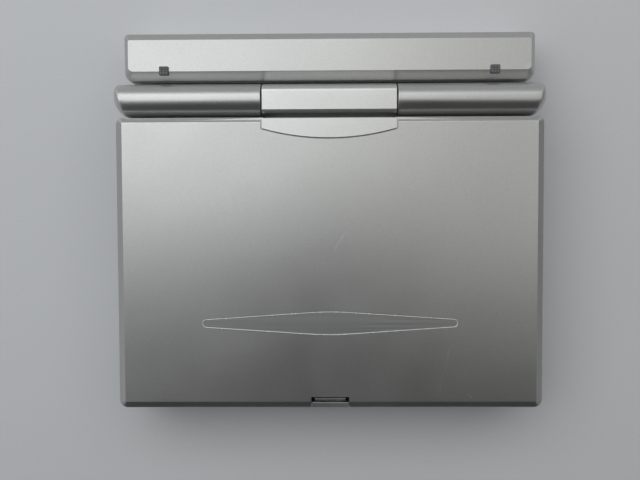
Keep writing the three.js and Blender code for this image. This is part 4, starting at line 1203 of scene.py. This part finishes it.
PACK_WALL = 1.5
PACK_TURN = 6  # how far from the front and the rear the slopes of the ends take over
PACK_RADII = (4.5, 1.8)  # of the front and the rear corners, seen from above
BUMPER_DROP = 0.3  # how much lower than its CAD solid a pad is drawn, to clear the open lid


def pack_loop(low, high, insets, front_radius, rear_radius):
    side, front, rear = insets
    left, right = low.x + side, high.x - side
    return rounded_loop(left, right, low.y + front, high.y - rear, front_radius, rear_radius)


def battery_upper():
    """A bar with a long slope to the front, a short one to the rear and steep ends."""
    low, high = mm_box("battery_upper_shell")
    top = high.z
    bottom = [(0.6, low.z, 0), (0, low.z, 0.2)]
    sides = fillet([*bottom, (0, top - 3.0, 1.2), (2.25, top, 0.3), (3.4, top, 0)], 6)
    fronts = fillet([*bottom, (0.1, top - 2.9, 3.2), (4.7, top, 0.3), (6.6, top, 0)], 6)
    rears = fillet([*bottom, (0, top - 2.8, 0.5), (3.2, top, 0.3), (4.6, top, 0)], 6)
    front_radius, rear_radius = PACK_RADII
    rings = []
    for side, front, rear in zip(sides, fronts, rears):
        share = min(max(side.x / 2.25, 0), 1) if side.y > low.z + 1 else 0
        insets = (side.x, front.x, rear.x)
        loop = pack_loop(low, high, insets, front_radius - 2.4 * share, rear_radius - 0.8 * share)
        rings.append([(x, y, pack_height(y, low, high, side.y, front.y, rear.y)) for x, y in loop])
    wall = PACK_WALL
    upright = pack_loop(low, high, (wall, wall, wall), 3, 0.6)
    sloped = pack_loop(low, high, (wall + 2, wall + 4.6, wall + 2.6), 1.5, 0.6)
    inside = loft("inside", [(low.z - 1, upright), (top - 4, upright), (top - wall, sloped)])
    return cut(skin("battery_upper", rings), inside)


def pack_height(y, low, high, side, front, rear):
    """A ring's height at a depth: from the front's to the sides' to the rear's, over PACK_TURN each."""
    from_front = min(max((y - low.y) / PACK_TURN, 0), 1)
    from_rear = min(max((high.y - y) / PACK_TURN, 0), 1)
    if from_front < 1:
        return front + (side - front) * from_front
    return rear + (side - rear) * from_rear


def battery_lower():
    low, high = mm_box("battery_lower_shell")
    shell_low = Vector((low.x, mm_box("battery_upper_shell")[0].y, low.z))
    profile = fillet(
        [(3, low.z, 0), (1.5, low.z, 0.6), (0, low.z + 1.5, 0.8), (0, high.z, 0.2), (0.6, high.z, 0)], 5
    )
    front_radius, rear_radius = PACK_RADII
    layers = []
    for inset, z in profile:
        radii = (max(front_radius - inset, 2), max(rear_radius - inset, 0.6))
        layers.append((z, pack_loop(shell_low, high, (inset, inset, inset), *radii)))
    tub = loft("battery_lower", layers)
    inside = pack_loop(shell_low, high, (2.5, 2.5, 2.5), 2, 0.6)
    cut(tub, slab("inside", inside, low.z + PACK_WALL, high.z + 1))
    return unite(tub, *hook_blocks("hook", low.y, shell_low.y + 0.6, 0))


def bumper_pad(node):
    low, high = mm_box(node)
    loop = rounded_loop(low.x, high.x, low.y, high.y, 0.35, steps=4)
    return soften(slab(node, loop, low.z - 0.35, high.z - BUMPER_DROP), 0.15, 3)


def bumper_studs(node):
    """Nine small studs on top of a pad."""
    low, high = mm_box(node)
    top = high.z - BUMPER_DROP
    across = (high.x - low.x) / 3
    along = (high.y - low.y - 0.7) / 3
    studs = []
    for column in range(3):
        for row in range(3):
            x = low.x + across * (column + 0.5)
            y = low.y + 0.35 + along * (row + 0.5)
            foot_loop = rounded_loop(x - 0.36, x + 0.36, y - 0.34, y + 0.34, 0.12, steps=2)
            top_loop = rounded_loop(x - 0.28, x + 0.28, y - 0.26, y + 0.26, 0.1, steps=2)
            layers = [(top - 0.1, foot_loop), (top + 0.08, foot_loop), (top + 0.15, top_loop)]
            studs.append(loft("stud", layers))
    return joined(studs)


# ---- putting it together


def dress_lid():
    finished(lid_cover(), "lid_cover", "lid_silver")
    finished(lid_bezel(), "lid_bezel", "bezel")
    finished(badge_plate(), "badge_inlay", "badge")
    finished(badge_rim(), "badge_inlay", "rim", "badge_rim")
    finished(hinge_shield(), "hinge_shield", "trim_silver")
    finished(hinge_housing(), "hinge_centre_housing", "trim_silver")
    finished(from_cad("lcd_panel", 0.2), "lcd_panel", "screen")
    finished(latch_button(), "latch_button", "silver")
    plain_pieces(
        0.08, "lcd_backlight", "speaker_left", "speaker_right", "lid_hinge_bracket", "inverter_board",
        "latch_spring", "hinge_pin_left", "hinge_pin_right",
    )


def dress_base():
    finished(base_upper(), "base_upper_shell", "silver")
    finished(base_lower(), "base_lower_shell", "silver")
    finished(hinge_barrel(1), "hinge_barrel_right", "silver")
    finished(hinge_barrel(-1), "hinge_barrel_left", "silver")
    for node in JACKS:
        finished(jack(node), node, "dark_plastic")
        finished(jack_sleeve(node), node, "steel", node + "_sleeve")
    for corner in ("front_left", "front_right", "rear_left", "rear_right"):
        finished(foot("foot_" + corner), "foot_" + corner, "foot_rubber")
    for node in SCREWS:
        finished(case_screw(node), node, "steel")
    plain_pieces(
        0.05, "friction_sleeve_left", "friction_sleeve_right", "main_board", "spindle_motor",
        "guide_rod_front", "guide_rod_rear", "sled_motor",
    )
    plain_pieces(0, "drive_chassis")


def dress_drive():
    finished(disc_well(), "disc_well", "well")
    finished(disc_door(), "disc_door", "silver")
    finished(spindle_hub(), "spindle_hub", "dark_plastic")
    finished(hub_ring(), "spindle_hub", "foot_rubber", "hub_ring")
    finished(lens(), "objective_lens", "lens_glass")
    finished(from_cad("optical_sled", 0.06), "optical_sled", "dark_plastic")
    finished(from_cad("lead_screw", 0.08), "lead_screw", "steel")


def dress_controls():
    for node in KEYS:
        finished(key(node), node, "key_plastic")
        finished(key_symbol(node), node, "ink", node + "_sign")
    finished(from_cad("nav_ring", 0.25), "nav_ring", "silver")
    for node in ("enter_button", "power_switch", "battery_release"):
        finished(from_cad(node, 0.25), node, "key_plastic")
    finished(volume_wheel(), "volume_wheel", "dark_plastic")


def dress_battery():
    finished(battery_upper(), "battery_upper_shell", "silver")
    finished(battery_lower(), "battery_lower_shell", "silver")
    for node in ("bumper_left", "bumper_right"):
        finished(bumper_pad(node), node, "bumper_rubber")
        finished(bumper_studs(node), node, "stud_rubber", node + "_studs")
    plain_pieces(0.2, "battery_cell_left", "battery_cell_right", "battery_board")


def plain_pieces(width, *nodes):
    """CAD solids with their edges rounded, in the look that their slot names."""
    for node in nodes:
        finished(from_cad(node, width), node, SLOT_OF[node])


def materials():
    return {
        "silver": silver_paint("silver_paint", 0.575),
        "lid_silver": silver_paint("lid_silver_paint", 0.575, SCRATCHES),
        "trim_silver": silver_paint("trim_silver_paint", 0.68),
        "stud_rubber": rubber("stud_rubber", (0.24, 0.245, 0.25)),
        "badge": brushed_badge(),
        "rim": painted_highlight_rim(),
        "bezel": moulded("bezel_plastic", (0.035, 0.036, 0.040), 0.5),
        "well": moulded("well_plastic", (0.055, 0.056, 0.060), 0.55),
        "dark_plastic": moulded("dark_plastic", (0.030, 0.030, 0.033), 0.45),
        "key_plastic": moulded("key_plastic", (0.36, 0.37, 0.39), 0.35, grain=0.1, metallic=0.4),
        "white_plastic": moulded("white_plastic", (0.75, 0.75, 0.74), 0.5),
        "foot_rubber": rubber("foot_rubber", (0.025, 0.025, 0.026)),
        "bumper_rubber": rubber("bumper_rubber", (0.13, 0.135, 0.14)),
        "steel": steel(),
        "screen": screen_glass(),
        "lens_glass": lens_glass(),
        "circuit_board": circuit_board(),
        "cell_wrap": cell_wrap(),
        "ink": print_ink("white_ink", (0.75, 0.75, 0.74)),
    }


add_camera()
bpy.context.scene.view_settings.view_transform = "Standard"
add_lights()
add_room()
add_floor()
LOOK = materials()
dress_lid()
dress_base()
dress_drive()
dress_controls()
dress_battery()
